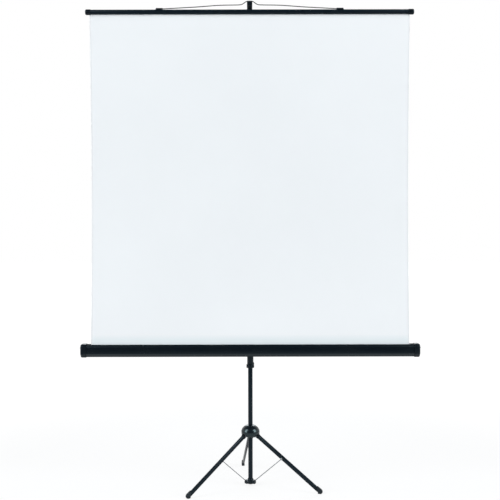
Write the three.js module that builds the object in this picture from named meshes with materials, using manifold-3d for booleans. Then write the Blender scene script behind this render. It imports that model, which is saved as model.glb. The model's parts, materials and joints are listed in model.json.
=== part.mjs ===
// Tripod projection screen: a pull-up screen in a long case, on a telescopic mast with a folding base.
// Millimetres, +Z up. The front of the screen faces -Y and the case runs along X.

import * as THREE from 'three';
import { mergeVertices } from 'three/addons/utils/BufferGeometryUtils.js';
import Module from 'manifold-3d';

const wasm = await Module();
wasm.setup();

// Driving dimensions

// Clearances
const GAP = 0.3; // between pieces that touch
const RUN = 0.4; // round a piece that slides or turns
const SEGMENTS = 20; // facets round a tube
const EDGE = 1; // broken edge of a collar, ring or cap
const PAST = 1; // a cutter reaches this far past the faces that it cuts

// Screen and case
const SCREEN_WIDTH = 1800;
const SCREEN_DROP = 1858; // shown height of the fabric
const FABRIC_THICKNESS = 0.6;
const CASE_HEIGHT = 70;
const CASE_DEPTH = 67;
const CASE_WALL = 1.2;
const CASE_CENTRE_Z = 785.5; // above the floor
const CASE_CHAMFER = { depth: 11, height: 13 }; // upper and rear edges
const CASE_FRONT_CHAMFER = { depth: 16, height: 19 }; // lower front edge
const SLOT_FRONT = 6; // slot in front of the fabric
const SLOT_BACK = 20; // and behind it
const SLOT_LIP = 6;
const CAP_MARGIN = 2.6; // the end caps stand proud of the shell
const CAP_LENGTH = 32;
const CAP_ROUNDING = 9;
const CAP_SEAT = 16; // shell inside each end cap
const ROLLER_CLEARANCE = 28; // fabric edge to the inner edge of an end cap
const PLATE_CORNER = 6;
const ROLLER_SETBACK = 5.5; // roller behind the middle of the case, so that the fabric leaves near its middle

// Spring roller
const ROLLER_R = 16;
const ROLLER_WALL = 1.2;
const ROLLER_OVERHANG = 4; // roller tube past each fabric edge
const ROLL_THICKNESS = 1.3; // turns of fabric left on the roller
const PLUG_FLANGE = 4;
const PLUG_DEPTH = 40;
const SHAFT_R = 4;
const SHAFT_REACH = 360; // spring shaft inside the roller
const SHAFT_COLLAR = 8; // collar at the inner end of the shaft
const SHAFT_END = 4; // shaft and pin past their brackets
const BRACKET_THICKNESS = 2;
const BRACKET_OFFSET = 15; // fabric edge to the bracket
const SPRING_R = 9;
const SPRING_WIRE_R = 1.3;
const SPRING_TURNS = 8;
const SPRING_STEPS = 8; // facets round one turn

// Top bar and bail
const BAR_R = 14;
const BAR_WALL = 1.3;
const BAR_CAP_WALL = 1.5;
const BAR_CAP_LENGTH = 31;
const BAR_CAP_SEAT = 20;
const BAR_CAP_ROUNDING = 7;
const BAR_SLOT_ROOM = 0.5; // slot in the bar beside the fabric, on each side
const BAR_OVERHANG = 24; // bar cap ends past the fabric edge
const BAIL_WIRE_R = 2.6;
const BAIL_SPAN = 1016; // between socket centres
const BAIL_RISE = 44; // seat of the bail above its sockets
const BAIL_SHOULDER = 23.5; // arms above the sockets where the kink starts
const BAIL_LEAN = 8; // seat of the bail behind its sockets
const BAIL_HIGH_BEND = 318; // from the inner end of a socket to where the arm levels out
const BAIL_LOW_BEND = 178; // and to the middle of its slope
const BAIL_SIDE = 5; // straight seat of the bail past each side of the head
const BAIL_EASE = 4; // rounding of the wire's bends
const BAIL_DIP = 3; // fall of the arm from its kink to where it levels out
const BAIL_SLOPE = 13.5; // and to the middle of its slope
const BAIL_STEPS = 76; // facets along the wire
const SOCKET_LENGTH = 40;
const SOCKET_WALL = 2.6;
const BORE_WALL = 2; // socket round the bail's end
const SADDLE_ANGLE = 50; // half of the bar that a socket sits on
const SOCKET_LIFT = 4; // wire axis above the bar

// Telescopic mast
const POST_R = 13;
const POST_WALL = 1.5;
const POST_BOTTOM = 12;
const POST_OVERLAP = 569; // post inside the carriage tube
const PLUG_INSERT = 18; // foot plug inside the post
const PLUG_SOLE = 4; // foot plug under the post
const PLUG_RIM = 2; // and outside it
const BUSH_WALL = 0.8; // bush between the post and the carriage tube
const CARRIAGE_WALL = 1.5;
const CARRIAGE_LENGTH = 1080;
const CARRIAGE_BELOW_CASE = 104.5; // case centre to the lower end of the carriage tube
const SLEEVE_WALL = 1.7;
const SLEEVE_LENGTH = 172;
const COLLAR_WALL = 6;
const COLLAR_HEIGHT = 20;
const FLANGE = 3.5; // flange of a bush
const BUSH_LENGTH = 60;
const ROD_GUIDE = 1.2; // the rod's foot stands proud of the rod
const ROD_WALL = 1.2;
const ROD_OVERLAP = 244; // rod inside the carriage tube
const ROD_FOOT_LENGTH = 14;
const ROD_FOOT_INSERT = 25;
const HEAD_WIDTH = 30;
const HEAD_ARM = 33; // height of the head's arm
const HEAD_RIM = 7; // rear wall of the hook above its seat
const HEAD_ROOF = 18; // head above the end of the rod
const HEAD_WALL = 4.5; // socket round the rod
const HEAD_SKIRT = 9; // socket under the arm
const HEAD_LIP = 5; // arm in front of the bail
const HEAD_NOSE = { depth: 30, height: 6 }; // slope under the arm's front end
const HEAD_CORNER = 10;
const PLATE_THICKNESS = 3;
const PAD_THICKNESS = 2.9; // sleeve pad behind the case plate
const PAD_SIDE = 5.5; // pad past the sleeve, and inside the height of the case
const PAD_CORNER = 8;
const PLATE_LENGTH = 120;
const BOLT_R = 5;
const BOLT_HEAD_R = 9;
const BOLT_HEAD = 2.2;
const HANDLE_REACH = 44;
const HANDLE_HEIGHT = 112;
const HANDLE_THICKNESS = 13;
const HANDLE_WIDTH = 22;
const HANDLE_CORNER = 20;
const HANDLE_INNER_CORNER = 11;
const HANDLE_BELOW_CENTRE = 18; // lower end of the handle under the case's centre line
const LEVER_HUB_R = 6;
const LEVER_HEIGHT = 8;
const LEVER_THICKNESS = 4;
const LEVER_ROOM = 1.5; // lever outside its collar
const THUMB_R = 3.4; // bead at the lever's end
const KNOB_HEIGHT = 8; // head of the lever's pin
const KNOB_EDGE = 2;
const LEVER_PIN_ANGLE = 48; // degrees from +X, behind the right side of the tube
const LEVER_END_ANGLE = 122;

// Tripod
const LEG_NAMES = ['rear', 'left', 'right'];
const REAR_LEG_TURN = 96.2; // degrees from +X
const LEG_ANGLE = 53.7; // degrees from vertical
const LEG_LENGTH = 473; // hinge to the centre of the foot's round end
const LEG_HEIGHT = 25;
const LEG_WIDTH = 12.5;
const LEG_WALL = 1.2;
const TANG_DEPTH = 45;
const HINGE_OFFSET = 27; // leg hinge from the face of the post
const FOOT_WALL = 2.5; // foot above and under the leg tube
const FOOT_SIDE = 2.25; // foot beside the leg tube
const FOOT_LENGTH = 42;
const FOOT_SEAT = 18; // leg tube inside the foot
const FOOT_FLAT = 3; // worn flat on the floor
const FOOT_ROUNDING = 3;
const PIN_R = 3;
const PIN_HEAD = { overhang: 2.5, edge: 0.8, height: 2.6 };
const CHEEK = 3.5;
const CHEEK_R = 9.5;
const YOKE_DROP = 13; // underside of the yoke beneath the leg hinges
const YOKE_WALL = 7.5;
const BOSS_TAPER = 10; // tapered top of the yoke's boss
const BOSS_RIM = 2.6; // its wall at the top
const CHEEK_RISE = 15; // gusset of a cheek above its round end
const CHEEK_ROOT = 3; // cheek from the face of the post
const DOME_MARGIN = 13; // dome outside the leg hinges
const DOME_RIM = 16; // widest part of the dome, above the leg hinges
const DOME_RISE = 43; // half height of the dome's ellipse
const DOME_SKIRT = -9;
const DOME_TUCK = 10; // lower edge inside the widest part
const DOME_WALL = 3;
const DOME_SEGMENTS = 32; // facets round the dome
const NOTCH_R = 20;
const STOP_RING_WALL = 3;
const STOP_RING_HEIGHT = 8;
const STRUT_R = 2.2;
const STRUT_ON_LEG = 196; // leg hinge to strut eye, along the leg
const STRUT_DROP = 5; // strut eye under the leg's centre line
const HOOK_END = 2.5; // strut's hook past its lug
const EYE_R = 6.5;
const EYE_THICKNESS = 2.4;
const RIVET_SHOULDER = 1.8; // spacer between the leg and the strut's eye
const RIVET_HEAD = { overhang: 2.4, edge: 0.8, height: 2.2 };
const BASE_PIVOT_OFFSET = 12; // strut pivot from the face of the post
const BASE_PIVOT_Z = 25;
const BASE_COLLAR_WALL = 4.5;
const LUG_WALL = 4.8; // round the strut's hook
const BASE_COLLAR_HEIGHT = 26;
const BASE_COLLAR_CHAMFER = { depth: 2, height: 4 };
const LUG_ROOT = 2; // lug from the face of the post
const LUG_CHEEK = 3.2; // outer cheek of the lug, on the far side of the strut

// Places worked out from them

const rad = THREE.MathUtils.degToRad;
const LEG_TILT = rad(LEG_ANGLE);
const FOOT_R = LEG_HEIGHT / 2 + FOOT_WALL;
const FOOT_WIDTH = LEG_WIDTH + 2 * FOOT_SIDE;
const HINGE_R = POST_R + HINGE_OFFSET;
const HINGE_Z = LEG_LENGTH * Math.cos(LEG_TILT) + FOOT_R - FOOT_FLAT;
const HUB_BOTTOM = HINGE_Z - YOKE_DROP;
const DOME_R = HINGE_R + DOME_MARGIN;
const DOME_BORE = POST_R + RUN;
const STOP_RING_R = POST_R + STOP_RING_WALL;
const BASE_PIVOT_R = POST_R + BASE_PIVOT_OFFSET;
const BASE_COLLAR_R = POST_R + BASE_COLLAR_WALL;
const CARRIAGE_R = POST_R + RUN + BUSH_WALL + GAP + CARRIAGE_WALL;
const SLEEVE_R = CARRIAGE_R + GAP + SLEEVE_WALL;
const COLLAR_R = CARRIAGE_R + GAP + COLLAR_WALL;
const ROD_R = POST_R - POST_WALL - GAP - ROD_GUIDE;
const ROLL_R = ROLLER_R + GAP + ROLL_THICKNESS;
const CASE_BACK_Y = -(SLEEVE_R + PAD_THICKNESS + GAP + PLATE_THICKNESS + GAP);
const CASE_Y = CASE_BACK_Y - CASE_DEPTH / 2;
const CASE_TOP_Z = CASE_CENTRE_Z + CASE_HEIGHT / 2;
const ROLLER_Y = CASE_Y + ROLLER_SETBACK;
const FABRIC_Y = ROLLER_Y - ROLL_R - GAP - FABRIC_THICKNESS / 2;
const CAP_INNER_X = SCREEN_WIDTH / 2 + ROLLER_CLEARANCE;
const SHELL_LENGTH = 2 * (CAP_INNER_X + CAP_SEAT);
const BAR_CAP_R = BAR_R + GAP + BAR_CAP_WALL;
const BAR_SLOT_HALF = FABRIC_THICKNESS / 2 + BAR_SLOT_ROOM;
const BAR_Z = CASE_TOP_Z + SCREEN_DROP + BAR_R;
const BAR_END_X = SCREEN_WIDTH / 2 + BAR_OVERHANG;
const SOCKET_Z = BAR_Z + BAR_R + SOCKET_LIFT;
const SEAT_Z = SOCKET_Z + BAIL_RISE - BAIL_WIRE_R - GAP;
const HEAD_TOP = SEAT_Z + HEAD_RIM;
const SEAT_Y = FABRIC_Y + BAIL_LEAN;
const CARRIAGE_BOTTOM = CASE_CENTRE_Z - CARRIAGE_BELOW_CASE;
const CARRIAGE_TOP = CARRIAGE_BOTTOM + CARRIAGE_LENGTH;
const POST_TOP = CARRIAGE_BOTTOM + POST_OVERLAP;
const COLLAR_BOTTOM = CARRIAGE_BOTTOM - FLANGE;
const SLEEVE_BOTTOM = COLLAR_BOTTOM + COLLAR_HEIGHT + GAP;
const MAST_COLLAR_BOTTOM = CARRIAGE_TOP + FLANGE - COLLAR_HEIGHT;
const ROD_TOP = HEAD_TOP - HEAD_ROOF;
const ROD_BOTTOM = CARRIAGE_TOP - ROD_OVERLAP;
const STRUT_SIDE = LEG_WIDTH / 2 + RUN + STRUT_R; // strut from the leg's middle plane
const LUG_HALF = STRUT_SIDE - STRUT_R - GAP;

// Materials

const finish = (color, roughness, metalness) => ({ color, roughness, metalness });
const BLACK_PAINT = finish(0x1b1c1f, 0.42, 0.2);
const BLACK_PLASTIC = finish(0x17181a, 0.5, 0);
const GLOSS_PLASTIC = finish(0x121316, 0.25, 0);
const RUBBER = finish(0x141414, 0.85, 0);
const ZINC = finish(0xc4c7ca, 0.35, 0.9);
const STEEL = finish(0x9a9da1, 0.4, 0.9);
const DARK_WIRE = finish(0x4a4c50, 0.35, 0.8);
const MATTE_WHITE = finish(0xe9ecf0, 0.9, 0);

// Solid helpers

function toSolid(geometry) {
  const bare = geometry.index ? geometry.toNonIndexed() : geometry.clone();
  bare.deleteAttribute('normal');
  bare.deleteAttribute('uv');
  const merged = mergeVertices(bare, 1e-4);
  const mesh = new wasm.Mesh({
    numProp: 3,
    vertProperties: new Float32Array(merged.attributes.position.array),
    triVerts: new Uint32Array(merged.index.array),
  });
  return new wasm.Manifold(mesh);
}

function toGeometry(solid) {
  const mesh = solid.getMesh();
  const geometry = new THREE.BufferGeometry();
  geometry.setAttribute('position', new THREE.BufferAttribute(new Float32Array(mesh.vertProperties), 3));
  geometry.setIndex(new THREE.BufferAttribute(new Uint32Array(mesh.triVerts), 1));
  return geometry;
}

function join(first, ...others) {
  return toGeometry(others.reduce((sum, other) => sum.add(toSolid(other)), toSolid(first)));
}

function cut(first, ...others) {
  return toGeometry(others.reduce((rest, other) => rest.subtract(toSolid(other)), toSolid(first)));
}

function piece(name, geometry, look) {
  const mesh = new THREE.Mesh(geometry, new THREE.MeshStandardMaterial(look));
  mesh.name = name;
  return mesh;
}

function group(...children) {
  const holder = new THREE.Group();
  holder.add(...children);
  return holder;
}

// Shapes are drawn in (u, v) and pushed along w. Each helper names the axes that u, v and w become.

const TO_YZ_ALONG_X = new THREE.Matrix4().set(0, 0, 1, 0, 1, 0, 0, 0, 0, 1, 0, 0, 0, 0, 0, 1);
const TO_XZ_ALONG_Y = new THREE.Matrix4().set(1, 0, 0, 0, 0, 0, -1, 0, 0, 1, 0, 0, 0, 0, 0, 1);

function slab(shape, depth, curveSegments = 5) {
  return new THREE.ExtrudeGeometry(shape, { depth, bevelEnabled: false, curveSegments });
}

function alongX(shape, x0, x1, curveSegments) {
  return slab(shape, x1 - x0, curveSegments).applyMatrix4(TO_YZ_ALONG_X).translate(x0, 0, 0);
}

function alongY(shape, y0, y1, curveSegments) {
  return slab(shape, y1 - y0, curveSegments).applyMatrix4(TO_XZ_ALONG_Y).translate(0, y1, 0);
}

function alongZ(shape, z0, z1, curveSegments) {
  return slab(shape, z1 - z0, curveSegments).translate(0, 0, z0);
}

function polygon(points) {
  return new THREE.Shape(points.map(([u, v]) => new THREE.Vector2(u, v)));
}

function disc(radius, u = 0, v = 0) {
  const shape = new THREE.Shape();
  shape.absarc(u, v, radius, 0, 2 * Math.PI);
  return shape;
}

// Flat-oval section: straight sides along v, half-round ends
function oval(width, height) {
  const r = width / 2;
  const straight = height / 2 - r;
  const shape = new THREE.Shape();
  shape.absarc(0, straight, r, 0, Math.PI);
  shape.absarc(0, -straight, r, Math.PI, 2 * Math.PI);
  return shape;
}

function roundedRectangle(width, height, radius) {
  const u = width / 2 - radius;
  const v = height / 2 - radius;
  const shape = new THREE.Shape();
  shape.absarc(u, v, radius, 0, Math.PI / 2);
  shape.absarc(-u, v, radius, Math.PI / 2, Math.PI);
  shape.absarc(-u, -v, radius, Math.PI, 1.5 * Math.PI);
  shape.absarc(u, -v, radius, 1.5 * Math.PI, 2 * Math.PI);
  return shape;
}

// Profile turned round Z. Points are [radius, z], up the outside and down the inside.
function turned(points, segments = SEGMENTS) {
  const profile = points.map(([r, z]) => new THREE.Vector2(r, z));
  return new THREE.LatheGeometry(profile, segments).rotateX(Math.PI / 2);
}

function ring(inner, outer, z0, z1, segments) {
  return turned([[inner, z0], [outer, z0], [outer, z1], [inner, z1], [inner, z0]], segments);
}

function rod(radius, z0, z1, segments) {
  return turned([[0, z0], [radius, z0], [radius, z1], [0, z1]], segments);
}

// The same turned shapes laid along X, with z becoming x
const layAlongX = (geometry) => geometry.rotateY(Math.PI / 2);

function arc(cx, cy, rx, ry, from, to, steps) {
  return Array.from({ length: steps + 1 }, (_, i) => {
    const angle = rad(from + ((to - from) * i) / steps);
    return [cx + rx * Math.cos(angle), cy + ry * Math.sin(angle)];
  });
}

// Convex outline, counter-clockwise, moved inwards by a distance
function inset(points, distance) {
  const count = points.length;
  const edges = points.map(([u, v], i) => {
    const [nu, nv] = points[(i + 1) % count];
    const length = Math.hypot(nu - u, nv - v);
    const normal = [-(nv - v) / length, (nu - u) / length];
    return { normal, offset: normal[0] * u + normal[1] * v + distance };
  });
  return edges.map((edge, i) => {
    const before = edges[(i + count - 1) % count];
    const det = before.normal[0] * edge.normal[1] - before.normal[1] * edge.normal[0];
    return [
      (before.offset * edge.normal[1] - edge.offset * before.normal[1]) / det,
      (before.normal[0] * edge.offset - edge.normal[0] * before.offset) / det,
    ];
  });
}

// Post with its base collar, foot plug, hub stop and top bush

function makePost() {
  const inner = POST_R - POST_WALL;
  const tube = ring(inner, POST_R, POST_BOTTOM, POST_TOP);
  const plugFlange = POST_BOTTOM - GAP;
  const plug = turned([
    [0, plugFlange - PLUG_SOLE],
    [POST_R + PLUG_RIM - EDGE, plugFlange - PLUG_SOLE],
    [POST_R + PLUG_RIM, plugFlange - PLUG_SOLE + EDGE],
    [POST_R + PLUG_RIM, plugFlange],
    [inner - GAP, plugFlange],
    [inner - GAP, POST_BOTTOM + PLUG_INSERT],
    [0, POST_BOTTOM + PLUG_INSERT],
  ]);
  const stopTop = HUB_BOTTOM - GAP;
  const stop = turned([
    [POST_R + GAP, stopTop - STOP_RING_HEIGHT],
    [STOP_RING_R - EDGE, stopTop - STOP_RING_HEIGHT],
    [STOP_RING_R, stopTop - STOP_RING_HEIGHT + EDGE],
    [STOP_RING_R, stopTop],
    [POST_R + GAP, stopTop],
    [POST_R + GAP, stopTop - STOP_RING_HEIGHT],
  ]);
  const bushR = CARRIAGE_R - CARRIAGE_WALL - GAP;
  const bush = turned([
    [POST_R + GAP, POST_TOP - BUSH_LENGTH / 2],
    [bushR, POST_TOP - BUSH_LENGTH / 2],
    [bushR, POST_TOP + GAP + FLANGE],
    [inner + GAP, POST_TOP + GAP + FLANGE],
    [inner + GAP, POST_TOP + GAP],
    [POST_R + GAP, POST_TOP + GAP],
    [POST_R + GAP, POST_TOP - BUSH_LENGTH / 2],
  ]);
  return group(
    piece('lower_post', tube, BLACK_PAINT),
    piece('post_foot_plug', plug, RUBBER),
    piece('hub_stop_ring', stop, BLACK_PLASTIC),
    piece('post_top_bush', bush, BLACK_PLASTIC),
    piece('base_collar', makeBaseCollar(), BLACK_PLASTIC),
  );
}

// Turns a geometry from the radial plane of one leg to that leg's place round the post
const legTurn = (index) => rad(REAR_LEG_TURN) + (index * 2 * Math.PI) / LEG_NAMES.length;

function makeBaseCollar() {
  const bottom = POST_BOTTOM + GAP;
  const top = bottom + BASE_COLLAR_HEIGHT;
  const body = turned([
    [POST_R + GAP, bottom],
    [BASE_COLLAR_R, bottom],
    [BASE_COLLAR_R, top - BASE_COLLAR_CHAMFER.height],
    [BASE_COLLAR_R - BASE_COLLAR_CHAMFER.depth, top],
    [POST_R + GAP, top],
    [POST_R + GAP, bottom],
  ]);
  const lug = new THREE.Shape();
  const lugR = STRUT_R + LUG_WALL;
  lug.moveTo(POST_R + LUG_ROOT, bottom);
  lug.lineTo(BASE_PIVOT_R + lugR, bottom);
  lug.absarc(BASE_PIVOT_R, BASE_PIVOT_Z, lugR, 0, Math.PI / 2);
  lug.lineTo(POST_R + LUG_ROOT, BASE_PIVOT_Z + lugR);
  const hole = disc(STRUT_R + GAP, BASE_PIVOT_R, BASE_PIVOT_Z);
  const slotHalf = STRUT_R + RUN;
  const slot = new THREE.BoxGeometry(2 * lugR, 2 * slotHalf, 2 * lugR);
  slot.translate(BASE_PIVOT_R - slotHalf + lugR, -STRUT_SIDE, BASE_PIVOT_Z - slotHalf + lugR);
  const lugs = [];
  const spaces = [];
  LEG_NAMES.forEach((_, index) => {
    const turn = legTurn(index);
    lugs.push(alongY(lug, -STRUT_SIDE - slotHalf - LUG_CHEEK, LUG_HALF).rotateZ(turn));
    spaces.push(alongY(hole, -STRUT_SIDE, 2 * LUG_HALF).rotateZ(turn), slot.clone().rotateZ(turn));
  });
  return cut(join(body, ...lugs), ...spaces);
}

// Sliding hub: a moulded dome over a yoke of three clevises

function makeHub() {
  const dome = makeDome();
  const yoke = makeYoke();
  const pins = LEG_NAMES.map((name, index) => piece(`leg_pin_${name}`, makeLegPin(index), ZINC));
  const hub = group(piece('hub_dome', dome, GLOSS_PLASTIC), piece('hub_yoke', yoke, BLACK_PLASTIC), ...pins);
  hub.position.z = HINGE_Z;
  return hub;
}

function makeDome() {
  const skirtR = DOME_R - DOME_TUCK;
  const skirtDrop = DOME_RIM - DOME_SKIRT;
  const innerR = DOME_R - DOME_WALL;
  const endAngle = (radius) => THREE.MathUtils.radToDeg(Math.acos(DOME_BORE / radius));
  const profile = [
    ...arc(skirtR, DOME_RIM, DOME_TUCK, skirtDrop, -90, -30, 2),
    ...arc(0, DOME_RIM, DOME_R, DOME_RISE, 0, endAngle(DOME_R), 8),
    ...arc(0, DOME_RIM, innerR, DOME_RISE - DOME_WALL, endAngle(innerR), 0, 6),
    ...arc(skirtR - DOME_WALL, DOME_RIM, DOME_TUCK, skirtDrop, -30, -90, 2),
    [skirtR, DOME_SKIRT],
  ];
  const notch = disc(NOTCH_R, 0, DOME_SKIRT + PAST);
  const slot = alongX(notch, HINGE_R - NOTCH_R, DOME_R + DOME_MARGIN);
  const notches = LEG_NAMES.map((_, index) => slot.clone().rotateZ(legTurn(index)));
  return cut(turned(profile, DOME_SEGMENTS), ...notches);
}

function makeYoke() {
  const bottom = HUB_BOTTOM - HINGE_Z;
  const topR = DOME_BORE + BOSS_RIM;
  const roof = Math.sqrt(1 - (topR / (DOME_R - DOME_WALL)) ** 2);
  const top = DOME_RIM + (DOME_RISE - DOME_WALL) * roof - 2 * GAP;
  const boss = turned([
    [DOME_BORE, bottom],
    [POST_R + YOKE_WALL, bottom],
    [POST_R + YOKE_WALL, top - BOSS_TAPER],
    [topR, top],
    [DOME_BORE, top],
    [DOME_BORE, bottom],
  ]);
  const cheek = new THREE.Shape();
  cheek.moveTo(POST_R + CHEEK_ROOT, -CHEEK_R);
  cheek.absarc(HINGE_R, 0, CHEEK_R, -Math.PI / 2, Math.PI / 2);
  cheek.lineTo(POST_R + CHEEK_ROOT, CHEEK_R + CHEEK_RISE);
  const hole = disc(PIN_R + GAP, HINGE_R, 0);
  const near = LEG_WIDTH / 2 + RUN;
  const far = near + CHEEK;
  const cheeks = [];
  const holes = [];
  LEG_NAMES.forEach((_, index) => {
    cheeks.push(alongY(cheek, near, far).rotateZ(legTurn(index)));
    cheeks.push(alongY(cheek, -far, -near).rotateZ(legTurn(index)));
    holes.push(alongY(hole, -2 * far, 2 * far).rotateZ(legTurn(index)));
  });
  return cut(join(boss, ...cheeks), ...holes);
}

// Rivet along the hinge axis, with a domed head at each end
function makeLegPin(index) {
  const under = LEG_WIDTH / 2 + RUN + CHEEK + GAP;
  const headR = PIN_R + PIN_HEAD.overhang;
  const crown = PIN_HEAD.height - PIN_HEAD.edge;
  const profile = [
    ...arc(0, -under - PIN_HEAD.edge, headR, crown, -90, 0, 2),
    [headR, -under],
    [PIN_R, -under],
    [PIN_R, under],
    [headR, under],
    ...arc(0, under + PIN_HEAD.edge, headR, crown, 0, 90, 2),
  ];
  const pin = turned(profile, 16).rotateX(Math.PI / 2);
  return pin.translate(HINGE_R, 0, 0).rotateZ(legTurn(index));
}

// One leg, drawn along +X from its hinge, with +Z its upper side

function makeLeg(name, index) {
  const tubeEnd = LEG_LENGTH + FOOT_R - FOOT_LENGTH + FOOT_SEAT;
  const tangHead = LEG_HEIGHT / 2 - GAP;
  const section = oval(LEG_WIDTH, LEG_HEIGHT);
  section.holes.push(oval(LEG_WIDTH - 2 * LEG_WALL, LEG_HEIGHT - 2 * LEG_WALL));
  const tubeStart = tangHead + 5;
  const leg = group(
    piece(`leg_tube_${name}`, alongX(section, tubeStart, tubeEnd), BLACK_PAINT),
    piece(`leg_tang_${name}`, makeTang(tangHead, tubeStart - GAP), BLACK_PLASTIC),
    piece(`leg_foot_${name}`, makeFoot(tubeEnd), RUBBER),
  );
  leg.position.set(HINGE_R, 0, HINGE_Z);
  leg.rotation.y = Math.PI / 2 - LEG_TILT;
  return around(leg, index);
}

function around(child, index) {
  const turn = group(child);
  turn.rotation.z = legTurn(index);
  return turn;
}

function makeTang(radius, shoulder) {
  const head = new THREE.Shape();
  head.absarc(0, 0, radius, Math.PI / 2, 1.5 * Math.PI);
  head.lineTo(shoulder, -radius);
  head.lineTo(shoulder, radius);
  const margin = 2 * (LEG_WALL + GAP);
  const shank = oval(LEG_WIDTH - margin, LEG_HEIGHT - margin);
  const whole = join(
    alongY(head, -LEG_WIDTH / 2, LEG_WIDTH / 2),
    alongX(shank, shoulder - PAST, shoulder + TANG_DEPTH),
  );
  return cut(whole, alongY(disc(PIN_R + GAP), -LEG_WIDTH, LEG_WIDTH));
}

// Rubber foot: a round-ended cap over the leg tube, flat where it stands on the floor
function makeFoot(tubeEnd) {
  const edge = FOOT_ROUNDING;
  const start = LEG_LENGTH + FOOT_R - FOOT_LENGTH;
  const side = new THREE.Shape();
  side.moveTo(start + edge, -FOOT_R + edge);
  side.absarc(LEG_LENGTH, 0, FOOT_R - edge, -Math.PI / 2, Math.PI / 2);
  side.lineTo(start + edge, FOOT_R - edge);
  const body = new THREE.ExtrudeGeometry(side, {
    depth: FOOT_WIDTH - 2 * edge,
    bevelThickness: edge,
    bevelSize: edge,
    bevelSegments: 2,
    curveSegments: 6,
  });
  body.applyMatrix4(TO_XZ_ALONG_Y).translate(0, FOOT_WIDTH / 2 - edge, 0);
  const socket = oval(LEG_WIDTH + 2 * GAP, LEG_HEIGHT + 2 * GAP);
  const floorDepth = 2 * FOOT_R;
  const floor = new THREE.BoxGeometry(4 * FOOT_LENGTH, 4 * FOOT_LENGTH, floorDepth);
  floor.translate(0, 0, -floorDepth / 2 - (FOOT_R - FOOT_FLAT));
  floor.rotateY(LEG_TILT - Math.PI / 2).translate(LEG_LENGTH, 0, 0);
  return cut(body, alongX(socket, start - PAST, tubeEnd + GAP), floor);
}

// Where the strut's eye lies beside the leg, in the leg's radial plane

function strutLine() {
  const along = [Math.sin(LEG_TILT), -Math.cos(LEG_TILT)];
  const upper = [Math.cos(LEG_TILT), Math.sin(LEG_TILT)];
  const r = HINGE_R + STRUT_ON_LEG * along[0] - STRUT_DROP * upper[0] - BASE_PIVOT_R;
  const z = HINGE_Z + STRUT_ON_LEG * along[1] - STRUT_DROP * upper[1] - BASE_PIVOT_Z;
  return { length: Math.hypot(r, z), angle: Math.atan2(r, z) };
}

// Wire strut, drawn along +X from the base collar's lug, with its lower end bent through the lug

function makeStrut(name, index) {
  const { length, angle } = strutLine();
  const wire = layAlongX(rod(STRUT_R, 0, length - EYE_R + PAST, 12)).translate(0, -STRUT_SIDE, 0);
  const bend = new THREE.SphereGeometry(STRUT_R, 12, 8).translate(0, -STRUT_SIDE, 0);
  const hook = alongY(disc(STRUT_R), -STRUT_SIDE, LUG_HALF + HOOK_END, 6);
  const eyeSide = EYE_THICKNESS / 2;
  const eye = alongY(disc(EYE_R, length, 0), -STRUT_SIDE - eyeSide, -STRUT_SIDE + eyeSide, 10);
  const hole = alongY(disc(STRUT_R + GAP, length, 0), -2 * STRUT_SIDE, 0, 6);
  const legFace = LEG_WIDTH / 2 + GAP - STRUT_SIDE;
  const rivetUnder = eyeSide + GAP;
  const headR = STRUT_R + RIVET_HEAD.overhang;
  const rivet = turned([
    [0, legFace],
    [STRUT_R + RIVET_SHOULDER, legFace],
    [STRUT_R + RIVET_SHOULDER, -rivetUnder],
    [STRUT_R, -rivetUnder],
    [STRUT_R, rivetUnder],
    [headR, rivetUnder],
    ...arc(0, rivetUnder + RIVET_HEAD.edge, headR, RIVET_HEAD.height - RIVET_HEAD.edge, 0, 90, 2),
  ], 12).rotateX(Math.PI / 2).translate(length, -STRUT_SIDE, 0);
  const strut = group(
    piece(`strut_${name}`, cut(join(wire, bend, hook, eye), hole), ZINC),
    piece(`strut_rivet_${name}`, rivet, ZINC),
  );
  strut.position.set(BASE_PIVOT_R, 0, BASE_PIVOT_Z);
  strut.rotation.y = angle - Math.PI / 2;
  return around(strut, index);
}

// Cam clamp round the end of the carriage tube: a collar with two ears, a lever between them and its pin

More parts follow.
